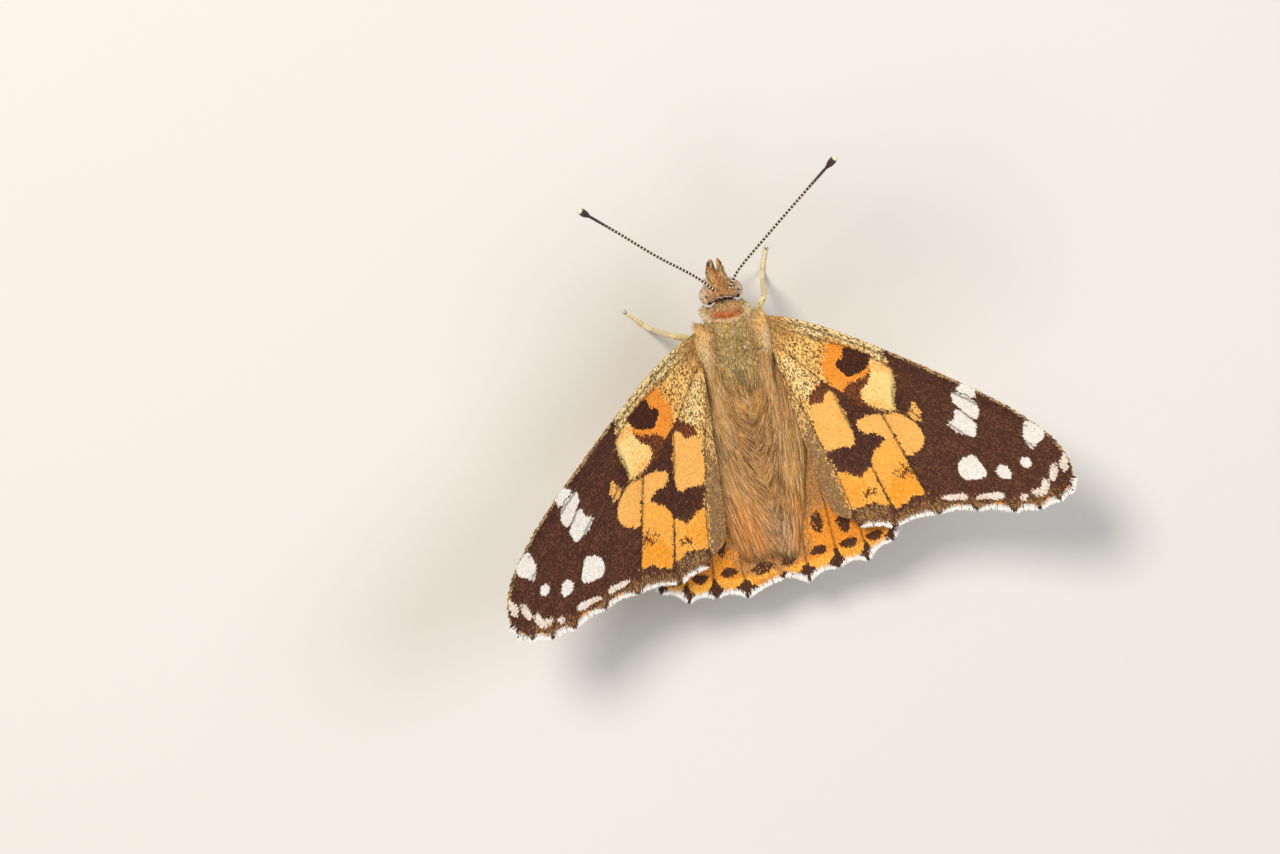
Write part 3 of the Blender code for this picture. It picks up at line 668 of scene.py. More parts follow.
FOREWING_ABOVE = Pattern(
    GOLD,
    [
        Mark(GOLD_PALE, [(1.5, -2.6), (7.0, -3.2), (11.5, -3.2), (11.0, -1.5), (6.5, -1.0),
            (2.5, -0.55)], 0.35, 0.2),
        Mark(GOLD_DEEP, [(5.6, -1.0), (8.0, -1.5), (10.3, -1.3), (10.2, 0.4), (8.0, 2.4), (6.6, 1.6),
            (5.7, 0.2)], 0.4, 0.3),
        Mark(GOLD_DEEP, [(-0.5, -0.9), (2.4, -0.9), (2.8, 0.4), (2.6, 1.6), (1.2, 1.6),
            (-0.6, 0.9)], 0.6, 0.4, 0.75),
        Mark(GOLD_PALE, [(2.6, 1.9), (5.5, 2.3), (6.8, 3.0), (6.3, 4.6), (4.8, 3.9), (2.8, 2.7)], 0.35, 0.3, 0.7),
        Mark(TAUPE_GOLD, [(3.2, 2.9), (5.2, 4.5), (7.6, 6.2), (9.6, 7.9), (9.0, 9.6), (5.0, 5.4),
            (2.6, 3.0)], 0.4, 0.3),
        Mark(TAUPE, [(7.6, 6.45), (9.6, 8.0), (12.1, 9.9), (14.3, 11.9), (15.6, 13.2), (15.4, 14.2),
            (11.2, 13.0), (8.4, 9.9)], 0.5, 0.3),
        Mark(
            DARK,
            [(11.0, -3.8), (11.05, -2.4), (12.25, -1.2), (12.4, 0.0), (10.45, -0.3), (10.15, 0.65),
             (9.35, 1.5), (9.2, 2.25), (8.3, 2.42), (7.1, 2.55), (6.9, 3.4), (6.6, 4.2), (7.0, 4.75),
             (7.3, 5.3), (8.2, 6.65), (9.3, 7.55), (10.2, 8.1), (11.9, 9.45), (13.0, 10.6), (14.3, 11.9),
             (15.6, 13.9), (19.0, 14.0), (34.0, 8.5), (34.0, -4.0)],
            0.13, 0.1, smooth=False,
        ),
        Mark(DEEP, [(8.4, 2.5), (10.6, 0.4), (12.6, 0.0), (14.6, 1.0), (14.9, 2.0), (13.0, 2.7), (11.6, 4.2),
            (13.6, 5.0), (14.0, 7.2), (11.9, 9.0), (11.0, 7.3), (11.9, 5.8), (9.6, 3.4)], 0.3, 0.2, 0.8),
        Mark(DEEP, [(11.0, -3.4), (20.0, -3.6), (27.0, -2.8), (24.0, -1.9), (18.0, -1.7),
            (12.4, -1.5)], 0.3, 0.15, 0.75),
        Mark(DARK_RED, [(10.3, -0.2), (10.9, 0.5), (10.6, 1.4), (11.0, 2.2), (12.0, 2.7), (11.0, 3.0),
            (8.2, 2.75), (9.2, 2.3), (9.35, 1.5), (10.1, 0.7)], 0.2, 0.1, 0.8),
        Mark(DARK_RED, [(7.1, 2.5), (8.0, 2.6), (8.0, 4.0), (7.5, 4.6), (7.0, 4.8), (6.5, 4.2),
            (6.85, 3.4)], 0.2, 0.15, 0.7),
        Mark(BROWN, [(15.6, 13.6), (14.6, 12.0), (15.8, 11.2), (18.0, 10.3), (20.3, 8.0), (23.5, 6.2),
            (27.0, 4.6), (29.0, 2.6), (31.0, 3.0), (28.0, 7.0), (21.0, 12.0)], 0.6, 0.3, 0.85),
        Mark(BROWN_LIGHT, [(16.2, 12.9), (18.4, 11.0), (21.2, 8.3), (24.4, 6.4), (27.3, 5.0), (29.6, 3.4),
            (30.4, 3.4), (28.0, 6.2), (22.0, 9.8), (18.0, 13.2)], 0.35, 0.2, 0.8),
        Mark(BROWN_LIGHT, [(14.6, 8.0), (15.4, 8.9), (16.9, 9.9), (17.2, 10.8), (15.6, 12.2), (14.6, 11.6),
            (15.6, 10.3), (15.0, 9.4)], 0.3, 0.2, 0.45),
        Mark(ORANGE_CELL, [(6.3, -0.9), (6.35, 0.2), (6.6, 1.1), (7.05, 2.0), (8.0, 2.35), (9.1, 2.3),
            (9.25, 1.6), (10.1, 0.7), (10.4, -0.2), (10.35, -0.7), (9.9, -1.35), (7.7, -1.3)], 0.2, 0.15),
        Mark(BLACK, [(7.6, -1.2), (9.7, -1.55), (10.1, -1.0), (10.05, -0.3), (9.5, 0.6), (8.8, 1.15), (8.1, 0.9),
            (7.55, 0.6), (7.45, 0.2), (7.75, -0.2)], 0.08, 0.1),
        Mark(CREAM, [(10.15, -1.15), (11.0, -1.3), (12.2, -1.15), (13.0, -0.4), (13.4, 0.7), (13.9, 1.6),
            (14.3, 1.95), (13.4, 2.3), (12.5, 2.5), (11.3, 2.45), (10.7, 2.1), (10.6, 1.4), (10.8, 0.7),
            (10.6, -0.2), (10.3, -0.6)], 0.1, 0.06),
        Mark(CREAM_TOP, [(10.1, -1.2), (11.2, -1.35), (12.3, -1.2), (12.6, -0.7), (11.4, -0.6),
            (10.5, -0.4)], 0.25, 0.1, 0.75),
        Mark(ORANGE_SOFT, [(10.7, 1.5), (11.6, 1.9), (13.2, 1.9), (14.1, 1.95), (13.4, 2.4), (12.0, 2.6),
            (11.0, 2.5)], 0.3, 0.1, 0.5),
        Mark(ORANGE_SOFT, [(7.95, 3.0), (8.6, 3.0), (9.5, 3.7), (10.6, 4.55), (11.6, 5.5), (11.95, 6.05),
            (11.85, 6.7), (11.0, 7.2), (10.1, 7.95), (9.3, 7.5), (8.2, 6.6), (7.3, 5.3), (7.2, 4.7),
            (7.8, 4.2)], 0.12, 0.08),
        Mark(ORANGE_SOFT, [(11.5, 4.35), (11.85, 3.6), (12.5, 3.05), (13.05, 2.85), (14.0, 3.42), (15.0, 4.2),
            (14.9, 4.75), (13.4, 4.65), (12.4, 5.05), (11.75, 4.85)], 0.12, 0.08),
        Mark(ORANGE_SOFT, [(13.2, 2.75), (14.2, 2.1), (15.3, 2.0), (16.4, 2.25), (17.2, 2.85), (17.55, 3.7),
            (17.35, 4.6), (16.7, 5.15), (15.8, 4.65), (15.0, 4.1), (14.0, 3.35)], 0.12, 0.08),
        Mark(ORANGE_SOFT, [(15.1, 0.6), (15.6, 0.7), (16.2, 1.2), (16.5, 1.9), (15.2, 1.85),
            (15.1, 1.2)], 0.1, 0.08, 0.9),
        Mark(ORANGE_LIGHT, [(14.2, 5.1), (14.7, 4.6), (15.2, 4.4), (15.9, 4.85), (16.8, 5.5), (17.2, 6.0),
            (17.9, 6.4), (19.5, 7.6), (19.3, 7.95), (18.6, 8.4), (18.4, 9.2), (17.9, 10.1), (17.1, 9.65),
            (15.5, 8.42), (14.3, 7.45), (13.9, 6.6)], 0.12, 0.1),
        Mark(ORANGE_DEEP, [(17.3, 6.4), (19.5, 7.6), (19.3, 7.9), (18.5, 8.3), (18.4, 9.0), (17.8, 9.8),
            (16.6, 9.0), (16.6, 7.6)], 0.35, 0.1, 0.8),
        round_mark(DARK_RED, 16.95, 6.7, 0.55, 0.7, soft=0.35, ragged=0.4, reach=0.6),
        Mark(ORANGE_LIGHT, [(11.9, 9.3), (12.6, 9.1), (13.8, 8.9), (14.1, 7.85), (14.6, 7.75), (15.6, 8.6),
            (17.1, 9.85), (16.6, 10.3), (15.8, 10.4), (14.8, 11.5), (14.2, 11.85), (13.0, 10.9),
            (12.2, 10.1)], 0.12, 0.1),
        Mark(ORANGE_DEEP, [(12.2, 9.5), (14.2, 9.2), (15.0, 10.0), (14.4, 11.2), (13.0, 10.6)], 0.4, 0.1, 0.5),
        round_mark(DARK_RED, 15.2, 10.0, 0.5, 0.55, soft=0.35, ragged=0.4, reach=0.55),
        Mark(COSTA_EDGE, [(10.8, -3.1), (19.0, -3.2), (24.0, -2.95), (27.7, -2.25), (29.95, -1.0),
            (29.55, -0.55), (27.35, -1.68), (24.0, -2.38), (19.0, -2.62), (11.6, -2.38)], 0.06, 0.05, 0.85),
        Mark(WHITE, [(18.3, -2.85), (19.6, -2.9), (19.95, -2.1), (18.0, -2.0)], 0.05, 0.04, smooth=False),
        Mark(WHITE, [(18.0, -1.85), (20.0, -1.85), (20.8, -1.0), (20.5, -0.35), (18.9, -0.75),
            (18.2, -1.0)], 0.05, 0.05),
        Mark(WHITE, [(18.85, -0.6), (20.5, -0.25), (21.1, 0.1), (21.35, 1.0), (20.3, 1.3), (19.3, 1.25),
            (18.7, 1.0), (18.95, 0.4)], 0.05, 0.05),
        Mark(WHITE, [(24.8, -2.25), (26.3, -2.2), (26.85, -1.6), (26.55, -0.8), (26.4, -0.15), (25.8, -0.4),
            (25.1, -0.9), (24.85, -1.6)], 0.05, 0.05),
        round_mark(WHITE, 26.4, 1.15, 0.55, 0.48, soft=0.06, ragged=0.06),
        round_mark(WHITE, 25.0, 2.85, 0.8, 0.55, 20.0, soft=0.06, ragged=0.06),
        Mark(WHITE, [(21.1, 3.8), (21.5, 2.9), (22.1, 2.6), (22.9, 2.95), (23.75, 3.6), (23.3, 4.35),
            (22.6, 4.8), (21.7, 4.85)], 0.06, 0.06),
        Mark(WHITE_SOFT, [(28.95, -1.15), (29.35, -1.0), (29.95, 0.1), (29.5, 0.35), (29.0, -0.3)], 0.08, 0.08),
        Mark(WHITE_SOFT, [(28.45, 0.15), (29.05, 0.2), (29.4, 1.45), (28.95, 1.65), (28.55, 0.9)], 0.08, 0.08),
        Mark(WHITE_SOFT, [(28.45, 1.85), (29.0, 1.9), (29.15, 3.0), (28.6, 3.45), (28.0, 3.35),
            (28.4, 2.7)], 0.1, 0.1),
        round_mark(WHITE_SOFT, 27.6, 4.15, 0.42, 0.28, 130.0, soft=0.1, reach=0.85),
        Mark(WHITE_SOFT, [(23.95, 6.1), (24.1, 5.5), (25.6, 4.6), (25.95, 5.0)], 0.08, 0.06),
        Mark(WHITE_SOFT, [(21.15, 7.5), (21.4, 6.9), (22.8, 6.05), (23.1, 6.5)], 0.08, 0.06),
        round_mark(AMBER, 30.75, 0.35, 0.28, 0.22, 70.0, soft=0.08, reach=0.9),
        round_mark(AMBER, 30.55, 1.8, 0.3, 0.22, 100.0, soft=0.08, reach=0.9),
        round_mark(AMBER, 29.65, 3.4, 0.3, 0.22, 130.0, soft=0.08, reach=0.9),
        round_mark(AMBER, 28.25, 4.65, 0.32, 0.22, 145.0, soft=0.08, reach=0.9),
        round_mark(AMBER, 25.85, 5.75, 0.4, 0.2, 155.0, soft=0.08, reach=0.85),
        round_mark(AMBER, 22.95, 7.3, 0.45, 0.2, 150.0, soft=0.08, reach=0.85),
    ],
    100,
)

HIND_ORANGE = Tint("#f09a2e", "#dd8424", 0.35)
HIND_YELLOW = Tint("#f7b545", "#eda034", 0.3)
HIND_DARK = Tint("#4b2914", "#6b3d1e", 0.2)
HIND_BROWN = Tint("#a5784a", "#8b6038", 0.3)
HIND_HAIRY = Tint("#c08b4f", "#a06d38", 0.35)


def scallop_triangle(s: float, t: float, half: float, rise: float) -> Mark:
    """The dark triangle at a vein's end on the hindwing's margin."""
    return Mark(
        HIND_DARK,
        [(s - half, t + 1.0), (s - half * 0.85, t - rise * 0.05), (s - half * 0.4, t - rise * 0.45), (s, t - rise),
         (s + half * 0.4, t - rise * 0.45), (s + half * 0.85, t - rise * 0.05), (s + half, t + 1.0)],
        0.08,
        0.06,
    )


HINDWING_ABOVE = Pattern(
    HIND_ORANGE,
    [
        Mark(HIND_BROWN, [(-1.0, -1.5), (4.0, -0.9), (8.5, 1.4), (12.0, 4.0), (14.5, 9.5), (11.5, 9.2),
            (8.0, 5.5), (4.0, 3.0), (0.5, 2.0)], 0.6, 0.4),
        Mark(HIND_HAIRY, [(-2.5, 1.0), (1.0, 0.5), (3.0, 3.0), (4.2, 8.0), (3.4, 13.0), (1.2, 16.0), (0.2, 18.8),
            (-4.0, 19.0)], 0.8, 0.4),
        Mark(HIND_DARK, [(4.4, 3.4), (6.8, 5.2), (8.6, 6.6), (9.4, 8.4), (8.0, 8.6), (6.4, 7.0),
            (4.8, 6.0)], 0.3, 0.3, 0.85),
        Mark(HIND_DARK, [(9.2, 8.0), (10.6, 9.2), (11.2, 10.6), (10.2, 11.0), (9.2, 9.8)], 0.3, 0.3, 0.8),
        Mark(HIND_YELLOW, [(-2.4, 18.85), (-1.4, 19.15), (0.0, 19.1), (1.6, 18.9), (3.0, 18.5), (4.4, 18.6),
            (5.8, 18.0), (7.2, 17.6), (9.2, 16.0), (11.4, 13.6),
                           (12.0, 14.2), (9.6, 17.0), (7.3, 18.8), (5.9, 19.4), (4.5, 19.9), (3.1, 19.9),
                               (1.6, 20.1), (0.0, 20.3), (-1.4, 20.0), (-2.4, 19.5)], 0.12, 0.08, 0.9),
        round_mark(HIND_DARK, 11.6, 12.4, 0.6, 0.55, soft=0.12),
        round_mark(HIND_DARK, 9.2, 14.7, 0.75, 0.7, soft=0.12),
        round_mark(HIND_DARK, 6.6, 15.9, 0.62, 0.68, soft=0.12),
        round_mark(HIND_DARK, 4.2, 16.3, 0.6, 0.8, 0.0, soft=0.12, reach=0.95),
        round_mark(HIND_DARK, 1.95, 15.8, 0.55, 0.95, 0.0, soft=0.15, ragged=0.08, reach=0.9),
        round_mark(HIND_DARK, 10.9, 14.6, 0.6, 0.3, -35.0, soft=0.08),
        round_mark(HIND_DARK, 8.9, 16.5, 0.7, 0.34, -30.0, soft=0.08),
        round_mark(HIND_DARK, 6.6, 17.6, 0.75, 0.38, -18.0, soft=0.08),
        round_mark(HIND_DARK, 4.4, 18.05, 0.78, 0.38, -12.0, soft=0.08),
        round_mark(HIND_DARK, 1.63, 18.3, 0.82, 0.4, -6.0, soft=0.08),
        round_mark(HIND_DARK, -1.5, 18.5, 1.0, 0.5, 4.0, soft=0.2, reach=0.95),
        scallop_triangle(12.9, 12.5, 0.75, 1.2),
        scallop_triangle(11.1, 15.3, 0.8, 1.3),
        scallop_triangle(8.2, 17.8, 0.8, 1.3),
        scallop_triangle(5.85, 19.3, 0.85, 1.35),
        scallop_triangle(3.15, 19.65, 0.9, 1.35),
        Mark(HIND_DARK, [(-1.1, 21.2), (-0.85, 20.2), (-0.2, 19.75), (0.33, 19.2), (0.8, 19.6), (1.4, 20.1),
            (1.7, 21.2), (0.4, 21.9)], 0.1, 0.08),
        Mark(AMBER, [(-2.6, 19.3), (-1.2, 19.5), (-0.6, 19.8), (-1.0, 20.1), (-2.6, 19.9)], 0.1, 0.08, 0.8),
    ],
    300,
)

UNDER_CREAM = Tint("#e9dfc6", "#cbb78e", 0.3)
UNDER_ROSE = Tint("#eaa469", "#d98a52", 0.3)
UNDER_BUFF = Tint("#c9a56c", "#a5804c", 0.3)
UNDER_OLIVE = Tint("#8f7850", "#6f5a38", 0.3)
UNDER_BLACK = Tint("#3d2a20", "#5a4030", 0.2)
UNDER_BLUE = Tint("#6f86a8", "#4e6184", 0.3)

FOREWING_BELOW = Pattern(
    UNDER_ROSE,
    [
        Mark(UNDER_CREAM, [(0.0, -3.0), (12.0, -3.6), (11.5, -1.6), (4.0, -1.0), (0.4, 0.2)], 0.3, 0.2, 0.9),
        Mark(UNDER_BLACK, [(11.0, -2.2), (13.0, -1.2), (13.2, 0.4), (14.6, 2.0), (17.6, 3.2), (17.4, 5.0),
            (19.5, 6.6), (18.6, 9.6), (15.8, 11.0),
                           (17.6, 8.6), (15.8, 5.4), (13.6, 4.6), (12.2, 5.6), (11.0, 4.2), (8.0, 3.4),
                               (8.4, 2.6), (10.6, 2.6), (10.4, 0.6), (11.2, -0.4)], 0.2, 0.2),
        Mark(UNDER_BLACK, [(7.6, -1.0), (9.7, -1.3), (10.0, -0.4), (9.3, 0.8), (8.1, 0.8), (7.5, 0.2)], 0.12, 0.1),
        Mark(CREAM, [(10.4, -1.0), (12.2, -1.0), (13.2, 0.6), (13.9, 1.8), (12.4, 2.4), (11.0, 2.2),
            (11.0, 0.6)], 0.15, 0.1),
        Mark(UNDER_CREAM, [(17.6, -3.2), (20.6, -3.2), (21.4, 0.2), (21.2, 1.3), (18.8, 1.0),
            (17.8, -1.6)], 0.1, 0.1),
        Mark(UNDER_OLIVE, [(21.0, -3.4), (29.0, -2.0), (32.5, 1.5), (28.0, 6.0), (23.0, 9.0), (21.0, 7.4),
            (23.6, 5.2), (22.0, 1.6)], 0.4, 0.3),
        Mark(UNDER_BUFF, [(28.5, -1.5), (32.0, 0.5), (31.5, 3.5), (27.0, 6.8), (22.0, 9.8), (21.6, 8.6),
            (27.0, 5.4), (29.6, 2.4)], 0.3, 0.2, 0.8),
        Mark(WHITE, [(24.8, -2.2), (26.5, -2.0), (26.5, -0.4), (25.2, -0.9)], 0.1, 0.05),
        Mark(WHITE, [(21.1, 3.8), (21.5, 2.9), (22.1, 2.6), (23.7, 3.6), (22.6, 4.8)], 0.1, 0.05),
        round_mark(UNDER_BLACK, 26.4, 1.15, 0.7, 0.6, soft=0.1),
        round_mark(UNDER_BLUE, 26.4, 1.15, 0.35, 0.3, soft=0.08),
        round_mark(UNDER_BLACK, 25.0, 2.9, 0.75, 0.65, soft=0.1),
        round_mark(WHITE, 25.0, 2.9, 0.35, 0.3, soft=0.08),
    ],
    500,
)


def eye_spot(s: float, t: float, size: float) -> list:
    """A ringed eye-like spot of the hindwing's underside, from its rim inwards."""
    return [
        round_mark(UNDER_BLACK, s, t, size * 1.25, size * 1.2, soft=0.08, ragged=0.05),
        round_mark(HIND_YELLOW, s, t, size * 1.08, size * 1.02, soft=0.08, ragged=0.05),
        round_mark(UNDER_BLACK, s, t, size * 0.72, size * 0.68, soft=0.08, ragged=0.05),
        round_mark(UNDER_BLUE, s, t, size * 0.38, size * 0.36, soft=0.08, ragged=0.05),
    ]


HINDWING_BELOW = Pattern(
    UNDER_BUFF,
    [
        Mark(UNDER_CREAM, [(2.0, 0.5), (6.0, 2.4), (6.5, 4.6), (4.0, 4.4), (2.4, 2.8)], 0.3, 0.4),
        Mark(UNDER_CREAM, [(7.6, 3.6), (10.4, 6.0), (9.6, 8.6), (7.4, 6.6)], 0.3, 0.4),
        Mark(UNDER_OLIVE, [(4.4, 5.0), (6.6, 5.4), (8.4, 8.4), (6.4, 9.4), (4.4, 7.4)], 0.3, 0.4),
        Mark(UNDER_CREAM, [(9.0, 9.4), (11.8, 9.4), (11.6, 12.0), (8.4, 13.4), (4.4, 14.2), (1.0, 14.6),
            (1.0, 12.8), (5.0, 11.8)], 0.4, 0.5),
        Mark(UNDER_OLIVE, [(0.0, 4.0), (2.2, 5.4), (2.6, 10.0), (1.6, 12.4), (-0.6, 11.0)], 0.4, 0.4, 0.8),
        Mark(UNDER_OLIVE, [(12.2, 7.0), (13.4, 9.0), (12.6, 11.4), (11.8, 9.4)], 0.3, 0.3, 0.8),
        Mark(UNDER_CREAM, [(12.6, 13.0), (10.6, 16.0), (8.0, 18.2), (5.8, 19.2), (3.0, 19.8), (0.2, 20.0),
            (-2.2, 19.4), (-2.0, 18.2), (0.4, 18.6), (3.2, 18.2), (7.6, 16.8), (11.4, 12.8)], 0.25, 0.2, 0.9),
        Mark(UNDER_BLUE, [(12.2, 12.8), (9.6, 15.8), (6.4, 17.8), (2.6, 18.7), (-1.6, 18.7), (-1.6, 18.3),
            (2.6, 18.3), (6.2, 17.4), (9.2, 15.5), (11.8, 12.8)], 0.1, 0.1, 0.7),
        *eye_spot(11.2, 11.9, 0.9),
        *eye_spot(9.0, 14.3, 0.65),
        *eye_spot(6.6, 15.7, 0.6),
        *eye_spot(4.2, 16.3, 0.85),
        *eye_spot(1.7, 16.3, 1.0),
    ],
    700,
)


# Wings


@dataclass
class Wing:
    """One wing: a thin veined membrane, a coat of scales on each face, and a fringe."""

    side: Side
    kind: str = "wing"
    costa: list = field(default_factory=list)
    vein_ends: list = field(default_factory=list)
    dips: list = field(default_factory=list)
    rear: list = field(default_factory=list)
    veins: list = field(default_factory=list)
    pole: tuple = (-2.0, -1.0)
    span: tuple = (34.0, 18.0)
    above: Pattern = None
    below: Pattern = None
    thickness: float = 0.2
    vein_rise: float = 0.13
    vein_half: float = 0.17
    hollow: float = 0.12
    inset: float = 0.42
    net_step: float = 0.3
    row_gap: float = 0.125
    scale_pitch: float = 0.1
    scale_length: float = 0.26
    scale_width: float = 0.125
    coarse: float = 1.35
    fringe_stops: int = 60
    fringe_layers: int = 4
    seed: int = 1

    def place(self, flat: np.ndarray, lift: np.ndarray) -> Places:
        """Places on the wing, lifted off its middle surface."""
        raise NotImplementedError

    def outline(self, inset: float) -> np.ndarray:
        """The wing's closed outline.

        Args:
            inset: how far the margin with the fringe is drawn in.

        Returns:
            The outline's flat places.
        """
        costa = curve_through(self.costa, 8)[:-1]
        margin = self.margin(inset, 12)[0]
        rear = curve_through(self.rear, 6)
        if inset > 0.0:
            pulled = eased(np.arange(len(rear)), 0, 8)[:, None]
            start = margin[-1]
            rear = rear * pulled + (start + (rear - rear[0])) * (1.0 - pulled)
            rear = rear[1:]
            gone = eased(np.arange(len(costa)), len(costa) - 9, len(costa))[:, None]
            costa = costa + (margin[0] - np.array(self.costa[-1])) * gone
        return np.concatenate([costa, margin, rear])

    def margin(self, inset: float, per_scallop: int) -> tuple[np.ndarray, np.ndarray, np.ndarray]:
        """The scalloped outer margin.

        Args:
            inset: how far it is drawn in.
            per_scallop: how many points each scallop gets.

        Returns:
            Its flat places, the outward direction at each, and its place in its scallop.
        """
        places, outward, share = [], [], []
        for start, end, dip in zip(self.vein_ends, self.vein_ends[1:], self.dips):
            start, end = np.array(start), np.array(end)
            along = end - start
            inward = unit(np.array([-along[1], along[0]]))
            for i in range(per_scallop):
                t = i / per_scallop
                places.append(start + along * t + inward * dip * math.sin(math.pi * t) ** 0.7)
                outward.append(-inward)
                share.append(t)
        places, outward = np.array(places), np.array(outward)
        for _ in range(per_scallop**2 // 50 + 1):
            outward[1:-1] = unit(outward[:-2] + outward[1:-1] * 2.0 + outward[2:])
        return places - outward * inset, outward, np.array(share)

    def height(self, flat: np.ndarray) -> np.ndarray:
        """How far the wing's faces stand off its middle surface, with the veins' ridges."""
        reach = np.hypot(flat[:, 0] - self.pole[0], flat[:, 1] - self.pole[1]) / self.span[0]
        rise = np.zeros(len(flat))
        for vein in self.veins:
            gap, along = line_distance(flat, curve_through(vein, 4))
            stout = 1.0 - 0.55 * along
            rise = np.maximum(rise, stout * np.exp(-((gap / (self.vein_half * stout)) ** 2)))
        return self.thickness * (0.5 - 0.28 * eased(reach, 0.1, 0.9)) + self.vein_rise * rise

    def swell(self, flat: np.ndarray) -> np.ndarray:
        """The shallow pleats of the membrane between its veins."""
        gap = np.full(len(flat), FAR)
        for vein in self.veins:
            gap = np.minimum(gap, line_distance(flat, curve_through(vein, 2))[0])
        return -self.hollow * eased(gap, 0.1, 1.1) + 0.05 * lumps(flat, 2.6, self.seed + 7)

    def vein_shade(self, flat: np.ndarray) -> np.ndarray:
        """How much of a vein runs under each flat place, from 0 to 1."""
        shade = np.zeros(len(flat))
        for vein in self.veins:
            gap, along = line_distance(flat, curve_through(vein, 4))
            shade = np.maximum(shade, 1.0 - eased(gap, 0.045, 0.1 - 0.02 * along))
        return shade

    def unwrap(self, flat: np.ndarray) -> np.ndarray:
        """Where flat places lie on the wing's own unwrap."""
        return np.clip(
            (flat + np.array([3.0, 4.5])) / np.array([self.span[0] + 4.0, self.span[1] + 9.0]), 0.01, 0.99
        )

    def tints(self, flat: np.ndarray, face: Face, rng: np.random.Generator | None) -> np.ndarray:
        """The colour at each flat place of one face, with the veins drawn in."""
        pattern = self.above if face is Face.UPPER else self.below
        found = pattern.paint(flat, rng)
        shade = self.vein_shade(flat)[:, None] * (0.8 if face is Face.UPPER else 0.6)
        vein = linear("#4a2f1c") if face is Face.UPPER else linear("#e4d6b4")
        return found * (1.0 - shade) + (0.2 * found + 0.8 * vein) * shade

    def make_membrane(self) -> None:
        """Make the veined sheet that carries the scales."""
        ring = self.outline(self.inset)
        low, high = ring.min(axis=0), ring.max(axis=0)
        rows = []
        for i, v in enumerate(np.arange(low[1], high[1], self.net_step * 0.87)):
            u = np.arange(low[0] + (i % 2) * self.net_step * 0.5, high[0], self.net_step)
            rows.append(np.stack([u, np.full(len(u), v)], axis=1))
        fill = np.concatenate(rows)
        fill = fill[ring_distance(fill, ring) < -self.net_step * 0.5]
        points = [Vector(p) for p in np.concatenate([ring, fill])]
        edges = [(i, (i + 1) % len(ring)) for i in range(len(ring))]
        flat, _, faces, _, _, _ = delaunay_2d_cdt(points, edges, [], 1, 1e-5)
        flat = np.array([tuple(p) for p in flat])
        faces = np.array([f for f in faces if len(f) == 3])
        faces = faces[ring_distance(flat[faces].mean(axis=1), ring) < 0.0]
        used, numbers = np.unique(faces, return_inverse=True)
        flat, faces = flat[used], numbers.reshape(faces.shape)
        count = len(flat)
        height, swell = self.height(flat), self.swell(flat)
        border = self.border_of(faces)
        height = np.where(border, height * 0.6, height)
        upper = self.place(flat, swell + height)
        lower = self.place(flat, swell - height)
        heap = Heap()
        flip = self.side is Side.RIGHT
        top = faces if not flip else faces[:, ::-1]
        under = top[:, ::-1] + count
        rims = self.rims_of(top, count)
        tints = np.concatenate([self.tints(flat, Face.UPPER, None), self.tints(flat, Face.LOWER, None)]) * 0.8
        patches = self.unwrap(flat)
        heap.add(
            np.concatenate([upper, lower]), tints, np.concatenate([patches, patches]),
            np.concatenate([flat, flat]) * 0.1, [top, under, rims]
        )
        node = f"{self.kind}_{self.side.word}"
        add_piece(f"{node}_membrane", heap, WING_MEMBRANE, node, slot="wing_scales")

    @staticmethod
    def rims_of(top: np.ndarray, count: int) -> np.ndarray:
        """The faces that close the sheet along its border."""
        edges = np.concatenate([top[:, [0, 1]], top[:, [1, 2]], top[:, [2, 0]]])
        known = {(int(a), int(b)) for a, b in edges}
        open_edges = [(a, b) for a, b in known if (b, a) not in known]
        return np.array([(b, a, a + count, b + count) for a, b in sorted(open_edges)])

    @staticmethod
    def border_of(faces: np.ndarray) -> np.ndarray:
        """Which corners lie on the sheet's border."""
        rims = Wing.rims_of(faces, 0)
        found = np.zeros(faces.max() + 1, bool)
        found[rims[:, :2].ravel()] = True
        return found

    def scale_roots(self, rng: np.random.Generator, coarse: float) -> np.ndarray:
        """Where the scales stand: in rows round the wing's root, further apart where coarse."""
        ring = self.outline(self.inset)
        pole = np.array(self.pole)
        reach = np.hypot(*(ring - pole).T)
        turn = np.arctan2(*(ring - pole).T[::-1])
        found = []
        for i, r in enumerate(np.arange(reach.min(), reach.max(), self.row_gap * coarse)):
            step = self.scale_pitch * coarse / r
            angles = np.arange(turn.min() + (i % 2) * step * 0.5, turn.max(), step)
            angles = angles + rng.normal(0.0, 0.14 * step, len(angles))
            far = r + rng.normal(0.0, 0.02, len(angles))
            found.append(pole + np.stack([far * np.cos(angles), far * np.sin(angles)], axis=1))
        found = np.concatenate(found)
        return found[ring_distance(found, ring) < -0.02]

